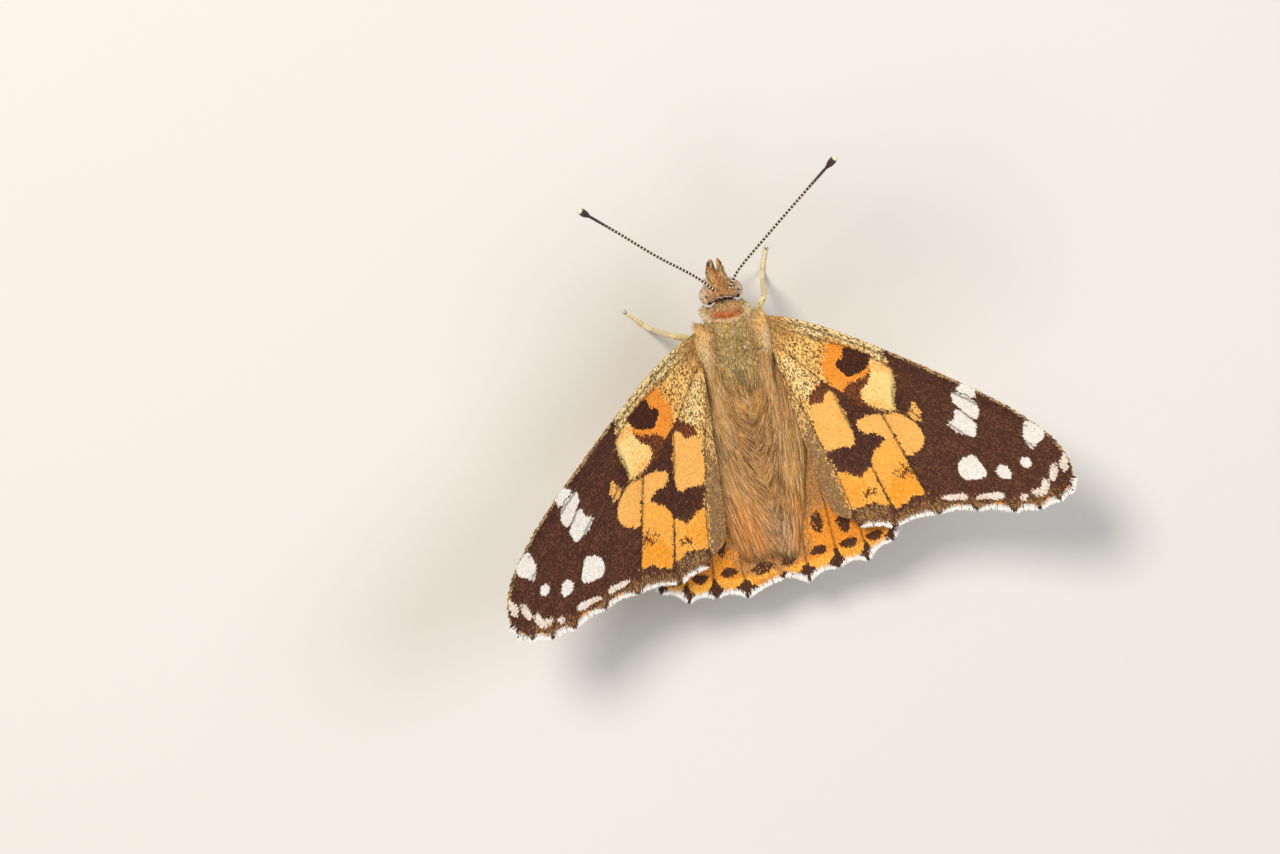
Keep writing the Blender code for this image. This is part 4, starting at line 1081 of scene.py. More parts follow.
    def add_vanes(self, kind: str, finish: Finish, roots: np.ndarray, along: np.ndarray, size: tuple, corners: list,
                  lifts: list, colours: np.ndarray, shades: tuple, flip: bool) -> None:
        """Add flat scales as one piece, each of a lower quad and an upper end.

        Args:
            kind: the last part of the piece's name.
            finish: what they are made of.
            roots: their flat places.
            along: their flat directions.
            size: their lengths and widths, in columns.
            corners: a scale's corners, across and along it.
            lifts: each corner's height off the wing's middle surface.
            colours: their linear colours.
            shades: how much darker or lighter each corner is drawn, as painted shade at the roots and painted light at
                the tips.
            flip: whether their faces are turned round.
        """
        length, width = size
        across = np.stack([-along[:, 1], along[:, 0]], axis=1)
        flats = [roots + along * length * v + across * width * u for u, v in corners]
        places = np.stack([self.place(flat, lift) for flat, lift in zip(flats, lifts)], axis=1)
        tints = colours[:, None, :] * np.array(shades)[None, :, None]
        corners = np.array(corners)
        patches = self.unwrap(roots)[:, None, :] + PATCH * (corners - np.array([0.0, 0.5]))[None]
        vanes = np.tile(corners + np.array([0.5, 0.0]), (len(roots), 1))
        number = np.arange(len(roots))[:, None] * len(corners)
        faces = [number + np.array([0, 1, 2, 3]), number + np.array([3, 2, *range(4, len(corners))])]
        if flip:
            faces = [f[:, ::-1] for f in faces]
        heap = Heap()
        heap.add(places.reshape(-1, 3), tints.reshape(-1, 3), patches.reshape(-1, 2), vanes, faces)
        add_piece(f"{self.kind}_{self.side.word}_{kind}", heap, finish, slot="wing_scales")

    def make_scales(self, face: Face) -> None:
        """Cover one face with overlapping scales, each with its own colour."""
        rng = np.random.default_rng(self.seed + (0 if face is Face.UPPER else 50))
        coarse = 1.0 if face is Face.UPPER else self.coarse
        roots = self.scale_roots(rng, coarse)
        count = len(roots)
        along = swung(unit(roots - np.array(self.pole)), rng.normal(0.0, 0.13, count))
        length = self.scale_length * coarse * rng.uniform(0.85, 1.15, count)[:, None]
        width = self.scale_width * coarse * rng.uniform(0.85, 1.15, count)[:, None]
        corners = [(-0.2, 0.0), (0.2, 0.0), (0.5, 0.6), (-0.5, 0.6), (0.12, 1.0), (-0.12, 1.0)]
        ground, swell = self.height(roots), self.swell(roots)
        tip_rise = rng.uniform(0.035, 0.065, count)
        lean = rng.normal(0.0, 0.008, count)
        rises = (0.0, 0.0, 0.6 * tip_rise + lean, 0.6 * tip_rise - lean, tip_rise, tip_rise)
        lifts = [swell + face.value * (ground + rise) for rise in rises]
        colours = self.tints(roots, face, rng)
        colours = colours * rng.uniform(0.9, 1.08, (count, 1))
        # Painted shade and light: each scale is drawn darker at its root, which the row before it covers, and a little
        # lighter at its tip.
        shades = (0.75, 0.75, 1.0, 1.0, 1.06, 1.06)
        flip = (self.side is Side.RIGHT) != (face is Face.LOWER)
        kind = f"scales_{face.name.lower()}"
        self.add_vanes(kind, WING_SCALE, roots, along, (length, width), corners, lifts, colours, shades, flip)

    def make_fringe(self) -> None:
        """Set the fringe along the outer margin: white in each scallop and dark at the veins."""
        rng = np.random.default_rng(self.seed + 90)
        places, outward, share = self.margin(self.inset, self.fringe_stops)
        pick = np.repeat(np.arange(len(places)), self.fringe_layers)
        count = len(pick)
        strayed = rng.normal(0.0, 0.03, (count, 2))
        roots = places[pick] + strayed - outward[pick] * rng.uniform(0.0, 0.14, (count, 1))
        along = swung(outward[pick], rng.normal(0.0, 0.1, count))
        middle = np.abs(share[pick] - 0.5)
        white = middle + rng.normal(0.0, 0.02, count) < 0.4
        length = ((self.inset + 0.16) * np.where(white, 1.0, 0.62) * rng.uniform(0.85, 1.1, count))[:, None]
        width = rng.uniform(0.05, 0.085, count)[:, None]
        corners = [(-0.5, 0.0), (0.5, 0.0), (0.55, 0.7), (-0.55, 0.7), (0.0, 1.0)]
        lift = rng.uniform(-0.04, 0.09, count)
        droop = rng.uniform(-0.03, 0.03, count)
        swell = self.swell(roots)
        lifts = [swell + lift + droop * k for k in (0, 0, 1, 1, 2)]
        light = rng.uniform(0.85, 1.08, (count, 1))
        colours = np.where(white[:, None], linear("#f7f4ee"), linear("#4a2c1e")) * light
        colours = np.where((white & (rng.random(count) < 0.05))[:, None], linear("#8d6b4c"), colours)
        # Painted shade and light: each fringe scale is drawn darker at its root, under the wing's scales, and a little
        # lighter at its tip.
        shades = (0.7, 0.7, 1.0, 1.0, 1.05)
        flip = self.side is Side.RIGHT
        self.add_vanes("fringe", WING_FRINGE, roots, along, (length, width), corners, lifts, colours, shades, flip)

    def make(self) -> None:
        """Build the whole wing."""
        self.make_membrane()
        self.make_scales(Face.UPPER)
        self.make_scales(Face.LOWER)
        self.make_fringe()


@dataclass
class Forewing(Wing):
    """A forewing, swept back and raised."""

    shoulder_out: float = 2.79
    sweep: float = math.radians(37.43)
    dihedral: float = math.radians(19.27)
    tilt: float = math.radians(-6.71)
    length: float = 31.0
    bow: float = 0.35

    def __post_init__(self) -> None:
        """Lay out the forewing's margins, veins and patterns."""
        self.kind = "forewing"
        self.above, self.below = FOREWING_ABOVE, FOREWING_BELOW
        self.costa = [(-0.35, -0.35), (2.2, -1.35), (6.0, -2.1), (12.0, -2.58), (19.0, -2.8), (24.0, -2.55),
            (27.5, -1.85), (29.7, -0.65), (31.1, 0.4)]
        self.vein_ends = [(31.15, 0.45), (31.5, 1.65), (30.85, 3.0), (29.6, 4.6), (27.6, 5.85), (24.55, 7.2),
            (21.75, 9.0), (18.7, 11.85), (15.7, 13.35)]
        self.dips = [0.06, 0.12, 0.2, 0.22, 0.3, 0.4, 0.42, 0.3]
        self.rear = [(15.7, 13.35), (13.3, 13.05), (11.9, 12.2), (9.0, 9.3), (5.0, 5.0), (2.2, 2.05), (0.3, 0.75)]
        self.veins = [
            [(0.2, -0.5), (4.0, -1.35), (9.0, -1.95), (14.0, -2.25), (17.0, -2.35)],
            [(0.3, -0.15), (3.0, -0.45), (6.0, -1.0), (8.5, -1.4), (11.0, -1.45), (14.5, -1.7), (18.0, -1.75),
                (22.0, -1.7), (25.0, -1.85)],
            [(11.6, -1.4), (14.0, -1.1), (16.5, -0.9), (18.9, -0.65), (20.6, -0.35), (23.5, 0.0), (26.3, 0.5),
                (28.6, 1.75), (30.6, 2.85)],
            [(21.6, -0.15), (24.5, -0.6), (27.3, -0.3), (29.2, 0.35), (31.2, 1.5)],
            [(13.1, 0.1), (17.0, 0.7), (21.2, 1.3), (23.6, 1.55), (25.8, 2.1), (29.4, 4.4)],
            [(13.7, 1.3), (17.0, 1.6), (20.5, 2.05), (23.8, 3.3), (27.4, 5.7)],
            [(0.7, 1.0), (3.0, 1.45), (5.0, 1.9), (8.2, 2.7), (10.5, 2.75), (13.0, 2.65)],
            [(13.0, 2.65), (14.3, 2.05), (16.3, 2.1), (18.5, 3.3), (21.5, 5.2), (24.3, 7.0)],
            [(13.0, 2.65), (15.0, 4.15), (17.0, 5.6), (19.4, 7.35), (21.5, 8.8)],
            [(8.2, 2.7), (10.0, 4.2), (11.8, 5.55), (14.0, 7.3), (17.3, 9.95), (18.5, 11.6)],
            [(12.6, -1.1), (13.1, 0.1), (13.7, 1.3), (14.3, 2.05)],
            [(0.8, 1.45), (4.0, 3.7), (7.5, 6.15), (9.6, 7.85), (12.0, 9.7), (14.2, 11.75), (15.5, 13.1)],
        ]

    def place(self, flat: np.ndarray, lift: np.ndarray) -> Places:
        """Places on the forewing, lifted off its middle surface."""
        u, v = flat[:, 0], flat[:, 1]
        lift = lift + self.bow * (1.0 - (2.0 * u / self.length - 1.0) ** 2)
        x = u * math.cos(self.sweep) - v * math.sin(self.sweep)
        y = u * math.sin(self.sweep) + v * math.cos(self.sweep)
        out = x * math.cos(self.dihedral) - lift * math.sin(self.dihedral)
        up = x * math.sin(self.dihedral) + lift * math.cos(self.dihedral)
        back = y * math.cos(self.tilt) + up * math.sin(self.tilt)
        up = up * math.cos(self.tilt) - y * math.sin(self.tilt)
        return to_frame(self.side.value * (self.shoulder_out + out), back, up)


@dataclass
class Hindwing(Wing):
    """A hindwing, which lies below the forewing and levels out beside the abdomen."""

    tuck: float = 0.6
    root: tuple = (2.5, 3.0)
    swing: float = math.radians(3.2)
    drop: float = 1.2
    over: Forewing = None

    def __post_init__(self) -> None:
        """Lay out the hindwing's margins, veins and patterns."""
        self.kind = "hindwing"
        self.pole, self.span = (-1.0, -2.5), (24.0, 22.0)
        self.above, self.below = HINDWING_ABOVE, HINDWING_BELOW
        self.swing *= self.side.value
        self.costa = [(0.75, -0.45), (3.6, 0.15), (7.4, 1.7), (10.8, 4.1), (12.8, 7.0), (13.4, 9.9)]
        self.vein_ends = [(13.4, 9.9), (12.9, 13.2), (11.15, 16.2), (8.35, 18.5), (5.95, 20.15), (3.25, 20.5),
            (0.35, 21.25), (-2.0, 20.2)]
        self.dips = [0.3, 0.45, 0.5, 0.5, 0.5, 0.5, 0.25]
        self.veins = [
            [(0.9, -0.05), (4.5, 1.5), (8.5, 3.7), (11.6, 6.6), (13.1, 9.6)],
            [(4.5, 2.3), (8.0, 5.4), (10.8, 9.2), (12.7, 13.0)],
            [(1.0, 0.3), (4.5, 2.3), (6.2, 6.0), (8.4, 11.0), (11.0, 16.0)],
            [(6.2, 6.0), (6.6, 10.2), (7.4, 14.5), (8.3, 18.3)],
            [(4.7, 9.0), (5.2, 13.5), (5.6, 17.3), (5.93, 19.9)],
            [(1.05, 0.9), (2.4, 4.5), (3.9, 8.0), (4.7, 9.0)],
            [(2.4, 6.3), (2.7, 11.0), (2.95, 15.0), (3.15, 18.5), (3.24, 20.3)],
            [(1.0, 1.8), (1.2, 4.8), (0.9, 10.0), (0.5, 15.0), (0.35, 21.0)],
        ]
        flank = ((20.6, 0.0), (18.9, 0.58), (17.0, 1.09), (15.0, 1.52), (12.8, 1.89), (10.4, 2.12), (8.0, 2.06),
            (6.4, 1.77), (4.6, 2.67))
        inner = [self.from_body(max(half + 0.35 - self.tuck, 0.2), back) for back, half in flank]
        if self.side is Side.LEFT:
            self.vein_ends[-1] = (-3.45, 20.1)
        inner[0] = (self.vein_ends[-1][0], self.vein_ends[-1][1] - 1.3)
        self.rear = [self.vein_ends[-1], *inner]

    def from_body(self, out: float, back: float) -> tuple[float, float]:
        """The flat place that lies so far out and back."""
        x, y = out - self.root[0], back - self.root[1]
        c, s = math.cos(self.swing), math.sin(self.swing)
        return x * c - y * s, y * c + x * s

    def rise(self, out: np.ndarray, back: np.ndarray) -> np.ndarray:
        """How far up the hindwing's middle surface lies at a body place."""
        level = 2.2 + 2.8 * eased(back, 12.0, 22.0)
        held = 0.5 * (out + level + np.hypot(out - level, 0.8))
        over = self.over
        slope = math.tan(over.dihedral) / math.cos(over.tilt)
        return slope * (held - over.shoulder_out) - math.tan(over.tilt) * back - self.drop

    def place(self, flat: np.ndarray, lift: np.ndarray) -> Places:
        """Places on the hindwing, lifted off its middle surface."""
        s, t = flat[:, 0], flat[:, 1]
        c, n = math.cos(self.swing), math.sin(self.swing)
        out = self.root[0] + s * c + t * n
        back = self.root[1] + t * c - s * n
        up = self.rise(out, back)
        step = 0.05
        slope_out = (self.rise(out + step, back) - up) / step
        slope_back = (self.rise(out, back + step) - up) / step
        normal = unit(np.stack([-slope_out, -slope_back, np.ones(len(s))], axis=1))
        normal = normal * np.broadcast_to(lift, (len(s),))[:, None]
        return to_frame(self.side.value * (out + normal[:, 0]), back + normal[:, 1], up + normal[:, 2])


# Body


def add_strands(
    heap: Heap, paths: np.ndarray, normals: np.ndarray, radius: np.ndarray, tints: np.ndarray, patches: np.ndarray,
    shades: tuple
) -> None:
    """Add tapering three-sided strands.

    Args:
        heap: takes them.
        paths: each strand's line, as rows of places from root to tip.
        normals: a direction across each strand.
        radius: each strand's radius at its root.
        tints: each strand's linear colour.
        patches: each strand's place on the skin's unwrap.
        shades: how much darker or lighter its root and its tip are drawn, as painted shade at the root and painted
            light at the tip.
    """
    total, stops, _ = paths.shape
    aims = unit(np.diff(paths, axis=1))
    places, colours, spots, vanes = [], [], [], []
    for i in range(stops):
        t = i / (stops - 1)
        colour = tints * (shades[0] + (shades[1] - shades[0]) * t**0.6)
        if i == stops - 1:
            places.append(paths[:, i])
            colours.append(colour)
            spots.append(patches + PATCH * np.array([0.0, 0.5]))
            vanes.append(np.tile((0.5, 1.0), (total, 1)))
            break
        side = unit(np.cross(aims[:, i], normals))
        other = np.cross(side, aims[:, i])
        width = radius[:, None] * (1.0 - 0.5 * t)
        for k in range(3):
            angle = math.tau * k / 3
            places.append(paths[:, i] + width * (math.cos(angle) * side + math.sin(angle) * other))
            colours.append(colour)
            spots.append(patches + PATCH * np.array([(k - 1) * 0.18, t - 0.5]))
            vanes.append(np.tile((k / 3.0, t), (total, 1)))
    size = len(places)
    number = np.arange(total)[:, None] * size
    quads, points = [], [number + np.array([2, 1, 0])]
    for ring in range(stops - 1):
        for k in range(3):
            a, b = ring * 3 + k, ring * 3 + (k + 1) % 3
            if ring < stops - 2:
                quads.append(number + np.array([a, b, b + 3, a + 3]))
            else:
                points.append(number + np.array([a, b, size - 1]))
    rows = [np.stack(part, axis=1).reshape(total * size, -1) for part in (places, colours, spots, vanes)]
    heap.add(*rows, quads + points)


@dataclass(frozen=True)
class Coat:
    """How the hair of one region grows.

    spread is how far a tuft's strands stand apart at their roots, gather how much they
    close towards its tip, lift how steeply it leaves the skin, droop how far it sinks
    back to it, and stray how unruly it is.
    """

    length: float
    strands: int = 5
    radius: float = 0.034
    spread: float = 0.08
    gather: float = 0.5
    lift: float = 0.3
    droop: float = 0.2
    stray: float = 0.12
    stops: int = 3
    # Painted shade and light: root_shade darkens each strand towards its root, deep in the coat, and tip_shade lightens
    # it towards its tip.
    root_shade: float = 0.45
    tip_shade: float = 1.2
    contrast: float = 0.14
    pale: float = 0.0
    dark: float = 0.0

    def grow(
        self, heap: Heap, roots: Places, normals: np.ndarray, flow: np.ndarray, tints: np.ndarray,
        patches: np.ndarray, rng: np.random.Generator, scale: np.ndarray | float = 1.0
    ) -> None:
        """Grow one tuft at each root.

        Args:
            heap: takes the strands.
            roots: where the tufts stand, in the part's frame.
            normals: the way out of the skin there.
            flow: the way the coat is combed.
            tints: each tuft's linear colour.
            patches: each tuft's place on the skin's unwrap.
            rng: draws the irregularities.
            scale: each tuft's length beside the coat's own.
        """
        count = len(roots)
        normals, flow = unit(normals), unit(flow)
        flow = unit(flow - (flow * normals).sum(axis=1, keepdims=True) * normals)
        flow = unit(flow + rng.normal(0.0, self.stray, (count, 3)))
        across = unit(np.cross(normals, flow))
        reach = self.length * rng.uniform(0.75, 1.2, count) * scale
        lift = self.lift * rng.uniform(0.5, 1.5, count)
        sway = rng.normal(0.0, self.stray, count)
        pick = np.repeat(np.arange(count), self.strands)
        total = len(pick)
        beside = rng.normal(0.0, self.spread, total)[:, None] * across[pick]
        before = rng.normal(0.0, self.spread, total)[:, None] * flow[pick]
        start = roots[pick] + beside + before - 0.06 * normals[pick]
        far = (reach[pick] * rng.uniform(0.75, 1.1, total))[:, None]
        aim = flow[pick] + (lift[pick] + rng.normal(0.0, 0.05, total))[:, None] * normals[pick]
        aim = unit(aim) - self.gather * beside / far
        bend = -(self.droop * (0.6 + lift[pick]))[:, None] * normals[pick] + sway[pick][:, None] * across[pick]
        bend = bend + rng.normal(0.0, 0.04, (total, 3))
        share = np.linspace(0.0, 1.0, self.stops)[None, :, None]
        paths = start[:, None] + far[:, None] * (aim[:, None] * share + bend[:, None] * share**2)
        colour = tints[pick] * rng.lognormal(0.0, self.contrast, total)[:, None]
        thick = self.radius * rng.uniform(0.75, 1.25, total)
        add_strands(heap, paths, normals[pick], thick, colour, patches[pick], (self.root_shade, self.tip_shade))


@dataclass
class Trunk:
    """The soft body: one skin from the face to the tip of the abdomen, and its hair."""

    stations: list = field(default_factory=lambda: [
        (-4.4, 0.2, 0.25, -1.1), (-4.2, 0.55, 0.7, -1.05), (-3.7, 0.85, 1.08, -0.98), (-3.2, 0.95, 1.22, -0.95),
        (-2.7, 0.95, 1.16, -0.95), (-2.4, 1.0, 1.1, -0.95), (-2.1, 1.35, 1.22, -0.95), (-1.75, 1.62, 1.42, -1.0),
        (-1.35, 1.62, 1.44, -1.05), (-0.9, 1.7, 1.56, -1.1), (-0.3, 2.05, 1.95, -1.15), (0.6, 2.35, 2.25, -1.25),
        (1.6, 2.55, 2.4, -1.35), (2.9, 2.6, 2.45, -1.45), (4.3, 2.42, 2.28, -1.55), (5.5, 2.0, 1.93, -1.6),
        (6.3, 1.55, 1.58, -1.6), (6.75, 1.47, 1.47, -1.6), (7.4, 1.68, 1.66, -1.55), (8.8, 1.85, 1.8, -1.45),
        (10.6, 1.82, 1.75, -1.3), (12.4, 1.66, 1.62, -1.1), (14.2, 1.4, 1.38, -0.9), (16.0, 1.06, 1.08, -0.75),
        (17.6, 0.7, 0.75, -0.65), (18.8, 0.36, 0.4, -0.6), (19.3, 0.12, 0.12, -0.6)])
    squareness: float = 2.3
    sides: int = 80
    grooves: tuple = (7.5, 9.0, 10.5, 12.0, 13.4, 14.8, 16.1, 17.3)
    profile: np.ndarray = None

    def __post_init__(self) -> None:
        """Smooth the stations into a profile."""
        self.profile = curve_through(self.stations, 8)
        self.profile[:, 0] = np.maximum.accumulate(self.profile[:, 0])

    def section(self, back: np.ndarray) -> tuple[np.ndarray, ...]:
        """The skin's half width, half height and middle at each place along the body."""
        return tuple(np.interp(back, self.profile[:, 0], self.profile[:, k]) for k in (1, 2, 3))

    def spot(self, back: np.ndarray, turn: np.ndarray) -> Places:
        """Body places on the skin; turn runs from the left side over the top."""
        half, tall, middle = self.section(back)
        pinch = np.zeros(len(back))
        for groove in self.grooves:
            pinch = np.maximum(pinch, np.exp(-(((back - groove) / 0.13) ** 2)))
        c, s = np.cos(turn), np.sin(turn)
        reach = (np.abs(c) ** self.squareness + np.abs(s) ** self.squareness) ** (-1.0 / self.squareness)
        reach = reach * (1.0 - 0.045 * pinch)
        return np.stack([half * c * reach, back, middle + tall * s * reach], axis=1)

    def unwrap(self, back: np.ndarray, turn: np.ndarray) -> np.ndarray:
        """Where skin places lie on the unwrap."""
        return np.stack(
            [np.clip((turn % math.tau) / math.tau, 0.01, 0.99), np.clip((back + 5.0) / 25.0, 0.01, 0.99)], axis=1
        )

    def make_skin(self) -> None:
        """Make the one skin under the hair."""
        backs = np.concatenate([np.linspace(-4.4, 6.4, 90), np.linspace(6.5, 19.3, 150)])
        turns = np.arange(self.sides) * math.tau / self.sides
        back, turn = np.repeat(backs, self.sides), np.tile(turns, len(backs))
        spots = self.spot(back, turn)
        ends = np.array([(0.0, -4.5, -1.1), (0.0, 19.4, -0.6)])
        spots = np.concatenate([spots, ends])
        patches = np.concatenate([self.unwrap(back, turn), np.array([(0.5, 0.01), (0.5, 0.99)])])
        heap = Heap()
        # Painted shade: the skin under the hair is drawn at half the body's colour, so that the gaps between the hairs
        # look dark.
        tints = body_tint(spots) * 0.5
        heap.add(to_frame(*spots.T), tints, patches, patches, [f[:, ::-1] for f in sleeve(len(backs), self.sides)])
        add_piece("body_skin", heap, BODY_SKIN, "thorax", "abdomen", "head", "collar", slot="body_hair")

    def roots(
        self, rng: np.random.Generator, count: int, first: float, last: float, low: float = 0.0,
        high: float = math.tau
    ) -> tuple:
        """Strew root places evenly over a stretch of the skin.

        Args:
            rng: draws the places.
            count: about how many.
            first: the stretch's front.
            last: its rear.
            low: its lowest turn.
            high: its highest turn.

        Returns:
            The backs and turns, the body places, and the normals.
        """
        back, turn = rng.uniform(first, last, count * 2), rng.uniform(low, high, count * 2)
        half = self.section(back)[0]
        kept = rng.random(count * 2) < half / max(half.max(), 1e-6)
        back, turn = back[kept][:count], turn[kept][:count]
        spots = self.spot(back, turn)
        along = self.spot(back + 0.05, turn) - self.spot(back - 0.05, turn)
        round_it = self.spot(back, turn + 0.03) - self.spot(back, turn - 0.03)
        normals = unit(np.cross(along, round_it))
        axis = np.stack([np.zeros(len(back)), back, np.full(len(back), -1.2)], axis=1)
        outside = (normals * (spots - axis)).sum(axis=1) < 0.0
        normals[outside] *= -1.0
        return back, turn, spots, normals

    def make_region(
        self, name: str, coat: Coat, count: int, seed: int, first: float, last: float, comb: Callable,
        low: float = 0.0, high: float = math.tau, more: Callable | None = None
    ) -> None:
        """Grow the hair of one stretch of the body.

        Args:
            name: the piece's name.
            coat: how the hair grows.
            count: how many tufts.
            seed: for the random draws.
            first: the stretch's front.
            last: its rear.
            comb: gives the body-frame flow and the length scale at body places.
            low: its lowest turn.
            high: its highest turn.
            more: adds further hair to the same piece.
        """
        rng = np.random.default_rng(seed)
        back, turn, spots, normals = self.roots(rng, count, first, last, low, high)
        flow, scale = comb(spots, turn)
        heap = Heap()
        keep = scale > 0.0
        coat.grow(
            heap, to_frame(*spots.T)[keep], frame_vectors(normals)[keep], frame_vectors(flow)[keep],
            body_tint(spots, rng)[keep], self.unwrap(back, turn)[keep], rng, scale[keep],
        )
        if more:
            more(heap, rng)
        add_piece(name, heap, BODY_HAIR, slot="body_hair")

    def make_coat(self, pelt: "Pelt") -> None:
        """Grow the short hair of the trunk, with the pelt's own tufts on the head and collar."""
        short = Coat(0.5, 5, 0.024, 0.05, lift=0.4, stray=0.2, droop=0.1)
        self.make_region("head_hair", short, 800, 11, -4.35, -2.1, comb_head, more=pelt.dress_head)
        ruff = Coat(0.75, 5, 0.028, 0.06, lift=0.38, stray=0.16)
        self.make_region("collar_hair", ruff, 800, 12, -2.3, -0.8, comb_collar, more=pelt.dress_collar)
        low = math.pi
        breast = Coat(1.2, 5, 0.036, 0.1, lift=0.3, stray=0.15)
        self.make_region("breast_hair", breast, 950, 14, -0.9, 6.4, comb_thorax, low - 0.35, low + math.pi + 0.35)
        belly = Coat(0.8, 5, 0.036, 0.1, lift=0.15, stray=0.08)
        self.make_region("belly_hair", belly, 950, 16, 6.0, 19.0, comb_abdomen, low - 0.5, low + math.pi + 0.5)


def frame_vectors(vectors: np.ndarray) -> np.ndarray:
    """Turn body directions into the part's frame."""
    return to_frame(*vectors.T) - to_frame(*np.zeros((3, 1)))


def towards(x: np.ndarray, y: np.ndarray, z: np.ndarray) -> np.ndarray:
    """Directions from their three parts."""
    return np.stack(np.broadcast_arrays(np.asarray(x, float), y, z), axis=1)


def comb_head(spots: Places, turn: np.ndarray) -> tuple:
    """Hair on the head stands forward on the face and falls back behind the eyes."""
    out, back, _ = spots.T
    rear = eased(back, -3.1, -2.5)
    flow = towards(0.25 * out, -1.0 + 2.0 * rear, 0.35 - 0.3 * rear)
    scale = 0.9 + 0.5 * eased(back, -2.9, -2.3) + 0.4 * (np.abs(out) < 0.35) * (back < -3.2)
    return flow, scale


def comb_collar(spots: Places, turn: np.ndarray) -> tuple:
    """Collar hair sweeps back and a little outward."""
    out = spots[:, 0]
    return towards(0.35 * out, np.ones(len(out)), np.full(len(out), 0.15)), np.full(len(out), 1.0)


def comb_thorax(spots: Places, turn: np.ndarray) -> tuple:
    """Thorax hair sweeps back, fanning out over the wing roots."""
    out, back, _ = spots.T
    fan = 0.18 * (1.0 - eased(back, 2.0, 5.5))
    return towards(fan * out, np.ones(len(out)), np.full(len(out), 0.1)), 0.85 + 0.35 * eased(back, 1.0, 5.0)


def comb_abdomen(spots: Places, turn: np.ndarray) -> tuple:
    """Abdomen hair meets over the midline in chevrons."""
    out, back, _ = spots.T
    steer = 0.55 * (1.0 - eased(back, 15.0, 18.0))
    inward = -steer * np.sign(out) * eased(np.abs(out), 0.02, 0.3)
    return towards(inward, np.ones(len(out)), 0.0 * out), 1.0 - 0.35 * eased(back, 14.0, 18.5)


def body_tint(spots: Places, rng: np.random.Generator | None = None) -> np.ndarray:
    """The body's colour at body places, as hair and as skin.

    Args:
        spots: the places.
        rng: draws each tuft's own shade; without it the colours are smooth.

    Returns:
        One linear colour for each place.
    """
    out, back, up = spots.T
    side = np.abs(out)
    fleck = np.full(len(out), 0.3)
    if rng is not None:
        back = back + rng.normal(0.0, 0.07, len(back))
        side = side + rng.normal(0.0, 0.06, len(back))
        fleck = (rng.random(len(back)) < 0.3).astype(float)
    slant = back + 0.1 * out

    def band(value: np.ndarray, low: float, high: float, soft: float) -> np.ndarray:
        """1 between two limits, with soft ends."""
        return eased(value, low - soft, low + soft) * (1.0 - eased(value, high - soft, high + soft))

    ahead_of_waist = 1.0 - eased(back, 5.5, 7.0)
    is_collar = 1.0 - eased(slant, -1.15, -0.95)
    is_head = 1.0 - eased(back, -2.62, -2.48)
    layers = (
        ("#c4bd98", 0.6 * fleck * (1.0 - eased(back, 2.5, 5.0))),
        ("#dca866", eased(back, 3.0, 5.4)),
        ("#dcab6c", 0.8 * eased(side, 1.6, 2.2) * ahead_of_waist),
        ("#c89556", eased(back, 6.0, 8.0)),
        ("#d2a062", 0.7 * eased(side, 0.9, 1.8) * eased(back, 6.0, 8.0)),
        ("#c2966a", 0.7 * eased(back, 14.0, 17.0)),
        ("#f8dca8", is_collar),
        ("#e0b478", is_collar * (1.0 - eased(slant, -2.0, -1.85)) * (1.0 - eased(side, 1.2, 1.5))),
        ("#8a6238", 0.6 * fleck * is_collar * (1.0 - eased(slant, -2.0, -1.8)) * (1.0 - eased(side, 1.1, 1.5))),
        ("#e8701a", 0.95 * band(slant, -1.95, -1.3, 0.12) * (1.0 - eased(side, 0.95, 1.3)) * is_collar),
        ("#dca468", is_head),
        ("#8a603a", 0.8 * fleck * is_head),
        ("#f3ead9", band(back, -2.66, -2.4, 0.05) * eased(side, 0.7, 0.9)),
        ("#32221a", band(back, -2.95, -2.66, 0.05) * (1.0 - eased(side, 0.75, 1.0))),
        ("#f4c880", band(back, -5.2, -3.75, 0.12) * (1.0 - 0.6 * fleck)),
        ("#cc7a34", 0.9 * band(back, -5.2, -3.6, 0.1) * (1.0 - eased(np.abs(out - 0.02), 0.14, 0.32))),
        ("#e9dcc0", eased(-up, 1.9, 2.9)),
        ("#efe4cc", (1.0 - eased(back, -2.6, -2.3)) * eased(-up, 1.3, 1.7)),
    )
    found = plain("#dcb56c", len(out))
    for colour, share in layers:
        found = blended(found, colour, share)
    return found


